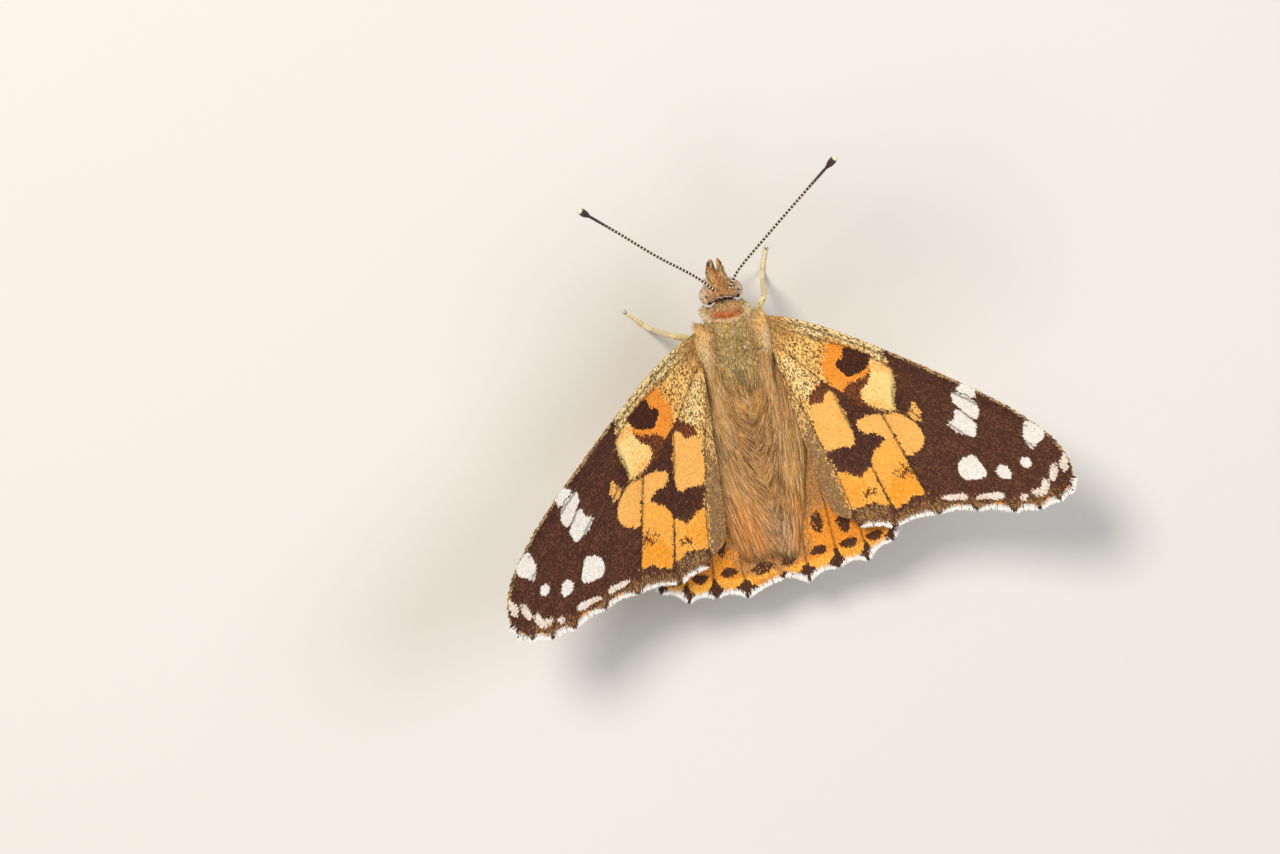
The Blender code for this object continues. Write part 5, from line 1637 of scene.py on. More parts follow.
@dataclass
class Eye:
    """A compound eye: a bulging egg, flatter where it meets the head."""

    side: Side
    centre: tuple = (0.98, -3.14, -0.85)
    half: tuple = (1.0, 0.94, 1.16)
    pupils: tuple = ((0.45, -0.2, 0.85), (0.2, 0.55, 0.8), (0.85, 0.45, 0.25), (0.9, -0.2, -0.3))

    def make(self) -> None:
        """Build the eye."""
        bpy.ops.object.select_all(action="DESELECT")
        bpy.ops.mesh.primitive_uv_sphere_add(segments=56, ring_count=36, radius=1.0)
        ball = bpy.context.object
        ball.name = f"eye_{self.side.word}_cornea"
        mesh = ball.data
        mesh.name = ball.name
        raw = np.zeros(len(mesh.vertices) * 3, np.float32)
        mesh.vertices.foreach_get("co", raw)
        round_places = raw.reshape(-1, 3).astype(float)
        x, y, z = round_places.T
        outward = x * self.side.value
        tints = plain("#f0ceaa", len(x))
        tints = blended(tints, "#c09a6c", 0.7 * (1.0 - eased(outward, 0.1, 0.7)))
        for pupil in self.pupils:
            spot = unit(np.array(pupil) * np.array([self.side.value, 1.0, 1.0]))
            gap = np.linalg.norm(unit(round_places) - spot, axis=1)
            tints = blended(tints, "#6b4c37", 0.85 * (1.0 - eased(gap, 0.08, 0.3)))
        add_tint(mesh, tints)
        x = np.where(outward < 0.0, x * 0.8, x)
        y = y * (1.0 - 0.08 * z)
        places = to_frame(
            self.side.value * self.centre[0] + x * self.half[0],
            self.centre[1] + y * self.half[1],
            self.centre[2] + z * self.half[2],
        )
        mesh.vertices.foreach_set("co", (places * MM).ravel().astype(np.float32))
        mesh.update()
        mesh.shade_smooth()
        mesh.materials.clear()
        mesh.materials.append(EyeFinish().material())
        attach(ball, "root")
        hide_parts(f"eye_{self.side.word}")


def add_tube(
    heap: Heap, route: Places, radii: np.ndarray, tints: np.ndarray, sides: int, patch: tuple = (0.5, 0.1, 0.8)
) -> None:
    """Add a round rod with closed ends.

    Args:
        heap: takes it.
        route: its centre line, in the part's frame.
        radii: its radius at each place of the line.
        tints: its linear colour there.
        sides: how many sides it has.
        patch: its strip of the unwrap, as the middle across, the start and the length.
    """
    tangents = unit(np.gradient(route, axis=0))
    side = np.cross(tangents[0], np.array([0.13, 0.21, 0.97]))
    frames = []
    for tangent in tangents:
        side = unit(side - (side @ tangent) * tangent)
        frames.append((side, np.cross(tangent, side)))
    frames = np.array(frames)
    count = len(route)
    angles = np.arange(sides) * math.tau / sides
    ring = np.cos(angles)[None, :, None] * frames[:, None, 0] + np.sin(angles)[None, :, None] * frames[:, None, 1]
    places = route[:, None] + ring * np.asarray(radii)[:, None, None]
    places = np.concatenate([places.reshape(-1, 3), route[:1], route[-1:]])
    colours = np.concatenate([np.repeat(tints, sides, axis=0), tints[:1], tints[-1:]])
    share = np.arange(count) / (count - 1)
    across = np.tile(angles / math.tau, count)
    along = np.repeat(share, sides)
    vanes = np.concatenate([np.stack([across, along], axis=1), [(0.5, 0.0), (0.5, 1.0)]])
    spots = np.stack([patch[0] + 0.06 * (vanes[:, 0] - 0.5), patch[1] + patch[2] * vanes[:, 1]], axis=1)
    heap.add(places, colours, spots, vanes, sleeve(count, sides))


def round_route(rng: np.random.Generator, route: Places, stops: np.ndarray, at: np.ndarray) -> tuple:
    """Where hair stands round a limb.

    Args:
        rng: draws the way out of the limb.
        route: the limb's centre line.
        stops: how far along it each of its places lies.
        at: how far along it each hair stands.

    Returns:
        The middle of the limb at each hair, the way along the limb, and the way out of it.
    """
    ahead = unit(sampled(at, stops, np.gradient(route, axis=0)))
    return sampled(at, stops, route), ahead, unit(np.cross(ahead, rng.normal(size=(len(at), 3))))


@dataclass
class Antenna:
    """A feeler: some forty banded joints, and a flattened club with a pale tip."""

    side: Side
    joints: int = 40
    shaft: float = 0.115
    club: float = 0.33
    club_length: float = 1.6
    sides: int = 12
    club_rings: int = 24

    def route(self) -> Places:
        """The centre line in the part's frame."""
        if self.side is Side.RIGHT:
            points = [(0.66, -3.45, 0.0), (1.9, -5.34, 0.85), (5.07, -8.28, 2.3), (8.75, -11.64, 4.1),
                (11.7, -14.26, 5.5)]
        else:
            points = [(0.42, -3.5, 0.0), (2.21, -5.77, 1.05), (5.25, -8.83, 2.5), (8.21, -12.12, 3.9),
                (11.26, -15.42, 5.5)]
        line = curve_through(points, 40)
        return to_frame(self.side.value * line[:, 0], line[:, 1], line[:, 2])

    def make(self) -> None:
        """Build the feeler."""
        line = self.route()
        reach = np.concatenate([[0.0], np.cumsum(np.linalg.norm(np.diff(line, axis=0), axis=1))])
        total = reach[-1]
        pace = (total - self.club_length) / self.joints
        stops, cream, radii = [], [], []
        for joint in range(self.joints):
            for part, pale, swell in ((0.0, 0.0, 0.9), (0.3, 0.0, 1.05), (0.66, 0.0, 1.08), (0.72, 1.0, 1.08),
                (0.95, 1.0, 0.95)):
                stops.append((joint + part) * pace)
                cream.append(pale * (1.0 - eased(joint, 30, 38)))
                radii.append(self.shaft * swell * (1.0 + 0.1 * joint / self.joints))
        for i in range(self.club_rings + 1):
            t = i / self.club_rings
            stops.append(total - self.club_length * (1.0 - t))
            cream.append(float(eased(t, 0.8, 0.86)))
            swell = eased(t, 0.0, 0.55) * math.sqrt(max(1.0 - max((t - 0.62) / 0.38, 0.0) ** 2, 0.02))
            uneven = 1.0 + 0.03 * math.sin(i * 2.1)
            radii.append((self.shaft + (self.club - self.shaft) * swell) * uneven * (1.0 if t < 0.97 else 0.7))
        stops, cream, radii = np.array(stops), np.array(cream), np.array(radii)
        route = sampled(stops, reach, line)
        tints = blended("#33241c", "#e9dcc4", cream)
        heap = Heap()
        add_tube(heap, route, radii, tints, self.sides)
        add_piece(f"antenna_{self.side.word}_shaft", heap, LIMB_HORN, f"antenna_{self.side.word}", slot="feelers")


@dataclass
class Palp:
    """A palp: a slender brush of dark and cream scales that reaches past the face."""

    side: Side
    tufts: int = 640

    def make(self) -> None:
        """Build the palp's core and its brush."""
        line = curve_through(
            [(0.52, -3.9, -1.95), (0.54, -4.6, -1.85), (0.46, -5.4, -1.55), (0.36, -5.95, -1.25)], 8
        )
        line[:, 0] *= self.side.value
        route = to_frame(*line.T)
        t = np.linspace(0.0, 1.0, len(route))
        radii = np.interp(t, [0.0, 0.35, 0.7, 1.0], [0.26, 0.3, 0.24, 0.06])
        heap = Heap()
        add_tube(heap, route, radii, plain("#b58a5a", len(route)), 14)
        rng = np.random.default_rng(31)
        count = self.tufts
        along = rng.uniform(0.0, 0.94, count)
        centre, ahead, ring = round_route(rng, route, t, along)
        roots = centre + ring * np.interp(along, t, radii)[:, None] * 0.9
        ahead = unit(ahead - ring * (0.35 * along)[:, None])
        outward, upper = ring[:, 0] * self.side.value, ring[:, 2]
        tints = np.where((upper > -0.2)[:, None], linear("#d79c58"), linear("#efe0c0"))
        tints = np.where((outward < -0.15)[:, None], linear("#efd3b0"), tints)
        streak = (outward > 0.35) | (np.abs(outward + 0.1) < 0.14) & (along > 0.3)
        tints = np.where((streak & (upper > -0.6) & (rng.random(count) < 0.85))[:, None], linear("#4a3020"), tints)
        tints = np.where((rng.random(count) < 0.15)[:, None], linear("#c07a38"), tints)
        patches = np.stack([0.2 + 0.6 * rng.random(count), 0.1 + 0.8 * along], axis=1)
        coat = Coat(0.62, 5, 0.022, 0.03, lift=0.16, droop=0.1, stray=0.05, contrast=0.25)
        coat.grow(heap, roots, ring, ahead, tints, patches, rng, 1.0 - 0.35 * along)
        add_piece(f"palp_{self.side.word}_brush", heap, BODY_HAIR, f"palp_{self.side.word}", slot="legs")


@dataclass
class Tongue:
    """The tongue, rolled up like a watch spring between the palps."""

    turns: float = 1.6
    spacing: float = 0.56
    inner: float = 0.3
    rings: int = 150

    def make(self) -> None:
        """Build the coil."""
        t = np.linspace(0.0, 1.0, self.rings * 2)
        angle = math.radians(70.0) + math.tau * self.turns * t
        radius = self.inner + self.spacing * self.turns * t
        route = to_frame(np.zeros(len(t)), -4.35 + radius * np.cos(angle), -3.35 + radius * np.sin(angle))
        thick = np.interp(t, [0.0, 0.5, 1.0], [0.1, 0.15, 0.18]) * (1.0 + 0.05 * (np.arange(len(t)) % 2))
        tints = blended("#3a261a", "#7a5230", (np.arange(len(t)) % 2) * 0.6)
        heap = Heap()
        add_tube(heap, route, thick, tints, 12)
        add_piece("proboscis_coil", heap, LIMB_HORN, "proboscis", slot="feelers")


@dataclass
class Leg:
    """A leg: hip, thigh, shin with two spurs, a foot of five joints, and two claws."""

    name: str
    side: Side
    joints: list
    radii: tuple = (0.34, 0.36, 0.26, 0.19, 0.16, 0.13)
    foot_joints: int = 5
    foot_rings: int = 26
    limb_rings: int = 14
    sole_height: float = 0.145
    tufts: int = 700
    seed: int = 40

    def make(self) -> None:
        """Build the leg."""
        points = np.array([(self.side.value * x, y - ROOT_AHEAD, z) for x, y, z in self.joints])
        points[4:, 2] = self.sole_height
        route, radii, tints = [], [], []
        cream, brown = linear("#e9dba6"), linear("#a98255")
        for i in range(len(points) - 1):
            steps = self.foot_rings if i == 4 else self.limb_rings
            for k in range(steps):
                t = k / steps
                size = self.radii[i] + (self.radii[i + 1] - self.radii[i]) * t
                if i in (1, 2, 3):
                    size += 0.05 * math.sin(math.pi * t)
                if i == 4:
                    size *= 0.88 + 0.16 * ((t * self.foot_joints) % 1.0)
                size *= 0.86 + 0.14 * min(1.0, 6.0 * min(t, 1.0 - t) + 0.2)
                route.append(points[i] + (points[i + 1] - points[i]) * t)
                radii.append(size)
                banded = 0.45 * float((t * self.foot_joints) % 1.0 > 0.8) if i == 4 else 0.0
                tints.append(blended(cream, brown, np.array(0.35 * (i == 2) + banded)))
        route.append(points[-1])
        radii.append(0.07)
        tints.append(brown)
        route = np.array(route)
        for _ in range(2):
            route[1:-1] = 0.25 * route[:-2] + 0.5 * route[1:-1] + 0.25 * route[2:]
        heap = Heap()
        add_tube(heap, route, np.array(radii), np.array(tints), 12)
        heel, toe = points[4:]
        ahead = unit(toe - heel)
        aside = unit(np.cross(ahead, np.array([0.0, 0.0, 1.0])))
        for sign in (1.0, -1.0):
            aslant = aside * sign
            claw = np.array([
                toe - ahead * 0.1,
                toe + ahead * 0.16 + aslant * 0.12 + (0, 0, 0.07),
                toe + ahead * 0.28 + aslant * 0.16 + (0, 0, -0.1),
            ])
            spur = np.array([
                heel + (0, 0, 0.3) - ahead * 0.05,
                heel + aslant * 0.2 + ahead * 0.25 + (0, 0, 0.12),
                heel + aslant * 0.24 + ahead * 0.5 + (0, 0, 0.06),
            ])
            add_tube(heap, curve_through(claw, 5), np.linspace(0.045, 0.012, 11), plain("#4a3020", 11), 8)
            add_tube(heap, curve_through(spur, 4), np.linspace(0.04, 0.014, 9), plain("#c9a875", 9), 8)
        self.add_scales(heap, route, np.array(radii))
        add_piece(self.name + "_limb", heap, LIMB_HORN, self.name, slot="legs")

    def add_scales(self, heap: Heap, route: Places, radii: np.ndarray) -> None:
        """Lay short flat scale hairs along the leg, longest on the thigh."""
        rng = np.random.default_rng(self.seed)
        count = self.tufts
        place = rng.uniform(6, len(route) - 2.0, count)
        number = np.arange(len(route))
        centre, ahead, ring = round_route(rng, route, number, place)
        thick = np.interp(place, number, radii)
        roots = centre + ring * thick[:, None]
        tints = np.where((rng.random(count) < 0.25)[:, None], linear("#a9834f"), linear("#ecdab4"))
        patches = np.stack([0.1 + 0.8 * rng.random(count), 0.05 + 0.9 * place / len(route)], axis=1)
        scale = 1.0 - 0.55 * eased(place, 20, 60)
        low = roots[:, 2] > 0.12
        coat = Coat(0.42, 2, 0.03, 0.03, lift=0.12, droop=0.1, stray=0.06, root_shade=0.8, tip_shade=1.05)
        coat.grow(heap, roots[low], ring[low], ahead[low], tints[low], patches[low], rng, scale[low])


@dataclass
class Foreleg:
    """A short brush leg, folded against the breast."""

    side: Side
    tufts: int = 500

    def make(self) -> None:
        """Build the brush leg."""
        line = curve_through([(0.9, -0.2, -2.6), (1.15, 0.3, -3.4), (1.05, -1.3, -3.1), (1.0, -2.9, -2.75),
            (0.95, -3.8, -2.85)], 8)
        line[:, 0] *= self.side.value
        route = to_frame(*line.T)
        t = np.linspace(0.0, 1.0, len(route))
        radii = np.interp(t, [0.0, 0.3, 0.7, 1.0], [0.22, 0.25, 0.2, 0.08])
        heap = Heap()
        add_tube(heap, route, radii, plain("#e0cba0", len(route)), 12)
        rng = np.random.default_rng(33)
        count = self.tufts
        along = rng.uniform(0.05, 0.98, count)
        centre, ahead, ring = round_route(rng, route, t, along)
        roots = centre + ring * np.interp(along, t, radii)[:, None]
        tints = np.where((rng.random(count) < 0.3)[:, None], linear("#b08a58"), linear("#eddcb8"))
        patches = np.stack([0.2 + 0.6 * rng.random(count), 0.1 + 0.8 * along], axis=1)
        Coat(0.5, 3, 0.026, 0.03, lift=0.35, stray=0.12).grow(heap, roots, ring, ahead, tints, patches, rng)
        add_piece(f"foreleg_{self.side.word}_brush", heap, BODY_HAIR, f"foreleg_{self.side.word}", slot="legs")


@dataclass
class Tegula:
    """The plate that covers a forewing's root; the pelt's ridge of hair lies over it."""

    side: Side
    centre: tuple = (2.52, 0.8, 0.72)
    half: tuple = (0.55, 1.75, 0.46)
    rows: int = 24
    sides: int = 28

    def make(self) -> None:
        """Build the plate."""
        rows, sides = self.rows, self.sides
        turn = np.linspace(0.04, math.pi - 0.04, rows)
        angle = np.arange(sides) * math.tau / sides
        y = -np.cos(turn)[:, None] * np.ones(sides)[None]
        x = np.sin(turn)[:, None] * np.cos(angle)[None]
        z = np.sin(turn)[:, None] * np.sin(angle)[None]
        raw = np.stack([x, y, z], axis=-1).reshape(-1, 3)
        raw = np.concatenate([raw, [(0.0, -1.0, 0.0), (0.0, 1.0, 0.0)]])
        spots = raw * np.array(self.half) + np.array(self.centre)
        spots[:, 0] *= self.side.value
        faces = sleeve(rows, sides)
        if self.side is Side.LEFT:
            faces = [f[:, ::-1] for f in faces]
        patches = np.stack([0.5 + 0.3 * raw[:, 0], 0.5 + 0.4 * raw[:, 1]], axis=1)
        heap = Heap()
        heap.add(to_frame(*spots.T), plain("#b98a50", len(raw)), patches, patches, faces)
        name = f"tegula_{self.side.word}_plate"
        add_piece(name, heap, BODY_SKIN, f"tegula_{self.side.word}", slot="body_hair")


@dataclass
class WingHair:
    """The long silky hair that covers the wings near the body."""

    wing: Wing
    tufts: int = 1150
    rear_tufts: int = 420

    def grow_on(
        self, heap: Heap, coat: Coat, flat: np.ndarray, ahead: np.ndarray, tints: np.ndarray,
        rng: np.random.Generator, scale: np.ndarray
    ) -> None:
        """Grow tufts on the wing's upper face.

        Args:
            heap: takes them.
            coat: how they grow.
            flat: their flat places.
            ahead: their flat directions.
            tints: their colours.
            rng: draws the irregularities.
            scale: their lengths beside the coat's own.
        """
        ground = self.wing.height(flat) + self.wing.swell(flat)
        roots = self.wing.place(flat, ground)
        flow = self.wing.place(flat + ahead * 0.1, ground) - roots
        normals = unit(self.wing.place(flat, ground + 0.5) - roots)
        coat.grow(heap, roots, normals, flow, tints, self.wing.unwrap(flat), rng, scale)

    def make_fore(self) -> None:
        """Grow the short golden hair of the forewing's root and its rear edge."""
        rng = np.random.default_rng(70 + self.wing.side.value)
        heap = Heap()
        ring = self.wing.outline(0.0)
        count = self.tufts
        flat = np.stack([rng.exponential(1.5, count * 2) - 0.2, rng.uniform(-1.6, 3.6, count * 2)], axis=1)
        flat = flat[ring_distance(flat, ring) < -0.05][:count]
        ahead = unit(np.stack([np.ones(len(flat)), 0.15 + 0.12 * flat[:, 1]], axis=1))
        mix = np.clip(0.5 + rng.normal(0.0, 0.35, len(flat)), 0.0, 1.0)
        tints = blended("#b07f40", "#eec88a", mix)
        coat = Coat(0.9, 4, 0.026, 0.07, lift=0.2, droop=0.15, stray=0.12)
        self.grow_on(heap, coat, flat, ahead, tints, rng, 1.0 - 0.6 * eased(flat[:, 0], 1.0, 4.5))
        share = rng.uniform(0.0, 1.0, self.rear_tufts)
        rear = curve_through([(0.9, 1.15), (2.6, 2.35), (5.2, 5.0), (9.0, 9.1), (11.6, 11.7)], 20)
        spot = sampled(share, np.linspace(0, 1, len(rear)), rear)
        spot = spot + rng.normal(0.0, 0.08, spot.shape) + np.array([0.12, -0.12])
        tints = plain("#c99a60", len(spot)) * rng.uniform(0.7, 1.15, (len(spot), 1))
        ahead = unit(np.stack([np.full(len(spot), 0.5), np.ones(len(spot))], axis=1))
        self.grow_on(
            heap, Coat(0.75, 4, 0.024, 0.06, lift=0.08, stray=0.12), spot, ahead, tints, rng, 1.0 - 0.4 * share
        )
        add_piece(f"forewing_{self.wing.side.word}_hair", heap, BODY_HAIR, slot="body_hair")


def along_line(rng: np.random.Generator, points: list, count: int, spread: float) -> tuple:
    """Strew places beside a smooth line.

    Args:
        rng: draws them.
        points: the line's corners.
        count: how many.
        spread: how far from the line they stray.

    Returns:
        The places, how far along the line each one is, and the line's direction there.
    """
    line = curve_through(points, 10)
    share = rng.uniform(0.0, 1.0, count)
    stops = np.linspace(0.0, 1.0, len(line))
    spot = sampled(share, stops, line)
    aim = unit(sampled(share, stops, np.gradient(line, axis=0)))
    beside = rng.normal(0.0, spread, (count, 1)) * np.stack([aim[:, 1], -aim[:, 0]], axis=1)
    return spot + beside, share, aim


# The brightest a hair gets in any channel, so that light hair keeps its hue
BRIGHTEST = 0.9


@dataclass
class Pelt:
    """The hair that lies over the head, the back, the abdomen and the hindwings' inner halves.

    Its strands are drawn in plan along the lie of the coat, and drape over whichever is
    highest there: the body, an eye, a wing root's plate or the wing.
    """

    trunk: Trunk
    wing: Hindwing
    ridge: tuple = ((-2.0, 1.9, -0.9), (-1.6, 2.05, 0.0), (-1.1, 2.35, 0.45), (-0.4, 2.56, 0.92), (0.3, 2.66, 1.16),
                    (1.0, 2.7, 1.24), (1.8, 2.68, 1.18), (2.6, 2.58, 0.98), (3.4, 2.45, 0.7), (4.4, 2.3, 0.3))
    muzzle: tuple = ((-6.2, -1.2), (-5.4, -0.95), (-4.7, -0.55), (-4.1, -0.12), (-3.7, 0.08))

    def ground(self, out: np.ndarray, back: np.ndarray) -> np.ndarray:
        """How far up the surface under the hair lies at body places."""
        side = np.abs(out)
        half, tall, middle = self.trunk.section(back)
        part = np.clip(side / np.maximum(half, 0.05), 0.0, 1.0) ** self.trunk.squareness
        body = middle + tall * (1.0 - part) ** (1.0 / self.trunk.squareness)
        wing = self.wing.rise(side, back) + 0.12
        top = 0.5 * (body + wing + np.hypot(body - wing, 0.25)) - 0.05
        eye = Eye(Side.LEFT)
        inside = 1.0 - ((side - eye.centre[0]) / eye.half[0]) ** 2 - ((back - eye.centre[1]) / eye.half[1]) ** 2
        dome = eye.centre[2] + eye.half[2] * np.sqrt(np.maximum(inside, 0.0))
        top = np.maximum(top, np.where(inside > 0.0, dome, -FAR))
        backs, outs, tops = np.array(self.ridge).T
        edge = np.interp(back, backs, outs)
        crest = np.interp(back, backs, tops) - np.where(side < edge, 0.55, 1.3) * (side - edge) ** 2
        top = np.maximum(top, crest)
        backs, tops = np.array(self.muzzle).T
        face = np.interp(back, backs, tops) - 1.2 * side**2
        return np.where(back < backs[-1], np.maximum(top, face), top)

    @staticmethod
    def steer(out: np.ndarray, back: np.ndarray) -> np.ndarray:
        """The lie of the coat in plan: rearward, closing on the midline in chevrons.

        Args:
            out: body places, how far out.
            back: how far back.

        Returns:
            One direction, out and back, for each place.
        """
        side = np.abs(out)
        left_edge = 2.75 - 0.12 * np.maximum(back - 13.0, 0.0)
        right_edge = 2.1 - 0.14 * np.maximum(back - 8.0, 0.0)
        edge = np.where(out > 0.0, left_edge, right_edge)
        straight = eased(side, edge - 0.4, edge + 0.3)
        turn = 16.0 + 26.0 * (1.0 - eased(side, 0.4, 2.5))
        turn = turn * eased(back, 3.6, 8.5) * (1.0 - 0.45 * eased(back, 14.5, 18.0))
        turn = turn * (1.0 - straight) + straight * (6.0 + 4.0 * eased(back, 14.0, 20.0)) * eased(back, 2.0, 7.0)
        turn = np.radians(turn) * eased(side, 0.0, 0.12)
        return np.stack([-np.sign(out) * np.sin(turn), np.cos(turn)], axis=1)

    def comb(
        self, heap: Heap, coat: Coat, plan: np.ndarray, reach: np.ndarray | float, tints: np.ndarray,
        rng: np.random.Generator, aims: np.ndarray | None = None
    ) -> None:
        """Lay tufts over the ground.

        Args:
            heap: takes them.
            coat: how they grow.
            plan: their roots, out and back.
            reach: their lengths.
            tints: their colours.
            rng: draws the irregularities.
            aims: each tuft's own direction, or none to follow the lie of the coat.
        """
        count = len(plan)
        pick = np.repeat(np.arange(count), coat.strands)
        total = len(pick)
        reach = np.broadcast_to(reach, (count,))
        lift = coat.lift * rng.uniform(0.4, 1.6, count)[pick] * rng.uniform(0.7, 1.3, total)
        sway = rng.normal(0.0, coat.stray, count)[pick] + rng.normal(0.0, coat.stray * 0.35, total)
        offset = rng.normal(0.0, coat.spread, (total, 2))
        spot = plan[pick]
        step = (reach[pick] * rng.uniform(0.8, 1.1, total) / (coat.stops - 1))[:, None]
        rows = []
        for i in range(coat.stops):
            t = i / (coat.stops - 1)
            at = spot + offset * (1.0 - coat.gather * t)
            up = self.ground(at[:, 0], at[:, 1]) + lift * math.sin(math.pi * (0.12 + 0.7 * t)) - 0.1 * (1.0 - t)
            rows.append(to_frame(at[:, 0], at[:, 1], up))
            aim = self.steer(spot[:, 0], spot[:, 1]) if aims is None else aims[pick]
            across = np.stack([aim[:, 1], -aim[:, 0]], axis=1)
            spot = spot + step * unit(aim + across * (sway * (0.3 + t))[:, None])
        upward = np.tile(frame_vectors(np.array([[0.0, 0.0, 1.0]])), (total, 1))
        colour = tints[pick] * rng.lognormal(0.0, coat.contrast, total)[:, None]
        colour = colour / np.maximum(colour.max(axis=1, keepdims=True) / BRIGHTEST, 1.0)
        colour = blended(colour, "#f9e2b4", 0.65 * (rng.random(total) < coat.pale))
        colour = blended(colour, "#5a3818", 0.6 * (rng.random(total) < coat.dark))
        thick = coat.radius * rng.uniform(0.7, 1.25, total)
        patches = np.clip((plan + np.array([6.0, 7.0])) / np.array([12.0, 32.0]), 0.02, 0.98)
        add_strands(
            heap, np.stack(rows, axis=1), upward, thick, colour, patches[pick], (coat.root_shade, coat.tip_shade)
        )

    def strew(
        self, rng: np.random.Generator, count: int, outs: tuple, backs: tuple, kept: Callable | None = None
    ) -> tuple:
        """Strew roots over a stretch of the plan, with the body's colours there.

        Args:
            rng: draws them.
            count: how many.
            outs: the stretch's limits, out.
            backs: its limits, back.
            kept: gives the share of roots that stay at body places.

        Returns:
            The roots and their linear colours.
        """
        plan = np.stack([rng.uniform(*outs, count * 3), rng.uniform(*backs, count * 3)], axis=1)
        if kept:
            plan = plan[rng.random(len(plan)) < kept(plan[:, 0], plan[:, 1])]
        plan = plan[:count]
        return plan, body_tint(np.stack([*plan.T, np.zeros(len(plan))], axis=1), rng)

    @staticmethod
    def locks(plan: np.ndarray, seed: int, rng: np.random.Generator, depth: float = 0.35) -> np.ndarray:
        """How light or dark each tuft is beside its colour, in narrow locks along the coat."""
        aim = Pelt.steer(plan[:, 0], plan[:, 1])
        beside = plan[:, 0] * aim[:, 1] - plan[:, 1] * aim[:, 0]
        wave = lumps(np.stack([beside, plan[:, 1] * 0.16], axis=1), 0.24, seed)
        return np.exp(depth * (1.6 * wave + rng.normal(0.0, 0.6, len(plan))))[:, None]

    def dress_head(self, heap: Heap, rng: np.random.Generator) -> None:
        """Add the crown's and the face's tufts, the black marks and the white lines behind the eyes.

        Args:
            heap: takes them.
            rng: draws the irregularities.
        """
        def kept(out: np.ndarray, back: np.ndarray) -> np.ndarray:
            """The muzzle is narrower than the crown."""
            return (np.abs(out) < 0.5 + 0.42 * eased(back, -4.3, -3.8)).astype(float)

        plan, tints = self.strew(rng, 900, (-0.95, 0.95), (-4.75, -2.75), kept)
        out, back = plan.T
        sideways = out * (0.25 + 0.9 * eased(back, -4.1, -3.6))
        aims = unit(np.stack([sideways, -1.0 + 0.75 * eased(back, -3.7, -3.0)], axis=1))
        reach = 0.42 + 0.45 * (1.0 - eased(back, -4.2, -3.7))
        fluff = Coat(1.0, 5, 0.022, 0.05, lift=0.14, stray=0.3, contrast=0.35, pale=0.16, dark=0.14, root_shade=0.6)
        self.comb(heap, fluff, plan, reach, tints * self.locks(plan * 2.0, 20, rng, 0.25), rng, aims)
        marks = (
            ([(0.95, -2.98), (0.8, -2.88), (0.62, -2.84)], 46, 0.07, "#2e1f18"),
            ([(0.5, -2.8), (0.25, -2.86), (-0.1, -2.86), (-0.45, -2.84), (-0.66, -2.78)], 110, 0.06, "#2e1f18"),
            ([(-0.85, -2.92), (-1.05, -2.86), (-1.25, -2.8)], 40, 0.06, "#3a281e"),
            ([(1.1, -2.75), (1.25, -2.7)], 24, 0.06, "#3a281e"),
            ([(0.6, -2.97), (0.2, -3.02), (-0.2, -3.0), (-0.75, -2.94)], 60, 0.025, "#f2d8c4"),
            ([(0.75, -2.72), (1.05, -2.56), (1.35, -2.45)], 50, 0.035, "#f7efe2"),
            ([(-0.7, -2.72), (-1.05, -2.6), (-1.4, -2.46)], 50, 0.035, "#f7efe2"),
        )
        bristle = Coat(1.0, 4, 0.022, 0.03, lift=0.12, stray=0.2, contrast=0.12, root_shade=0.8)
        for points, count, spread, colour in marks:
            plan, _, aims = along_line(rng, points, count, spread)
            self.comb(heap, bristle, plan, 0.3, plain(colour, count), rng, aims)
        rim = Coat(0.42, 4, 0.022, 0.03, lift=0.35, droop=0.1, stray=0.1, root_shade=0.85)
        eye = Eye(Side.LEFT)
        for side in Side:
            count = 200
            angle = rng.uniform(math.radians(-75.0), math.radians(75.0), count)
            ring = np.stack([side.value * np.cos(angle), np.zeros(count), np.sin(angle)], axis=1)
            middle = np.array([side.value * eye.centre[0], eye.centre[1], eye.centre[2]])
            spots = middle + (ring * 0.76 + np.array([0.0, 0.62, 0.0])) * np.array(eye.half)
            flow = ring * 0.8 + np.array([0.0, 0.6, 0.0])
            tints = plain("#f6eee0", count)
            patches = np.stack([0.3 + 0.2 * np.cos(angle), 0.1 + 0.05 * np.sin(angle)], axis=1)
            rim.grow(
                heap, to_frame(*spots.T), frame_vectors(ring + (0.0, 0.4, 0.0)), frame_vectors(flow), tints,
                patches, rng
            )

    def dress_collar(self, heap: Heap, rng: np.random.Generator) -> None:
        """Add the collar's ruff, and the pale hair along its rear edge.

        Args:
            heap: takes them.
            rng: draws the irregularities.
        """
        def kept(out: np.ndarray, back: np.ndarray) -> np.ndarray:
            """The ruff is an oval, set a little aslant."""
            return ((out / 1.85) ** 2 + ((back + 0.08 * out + 1.78) / 0.8) ** 2 < 1.0).astype(float)

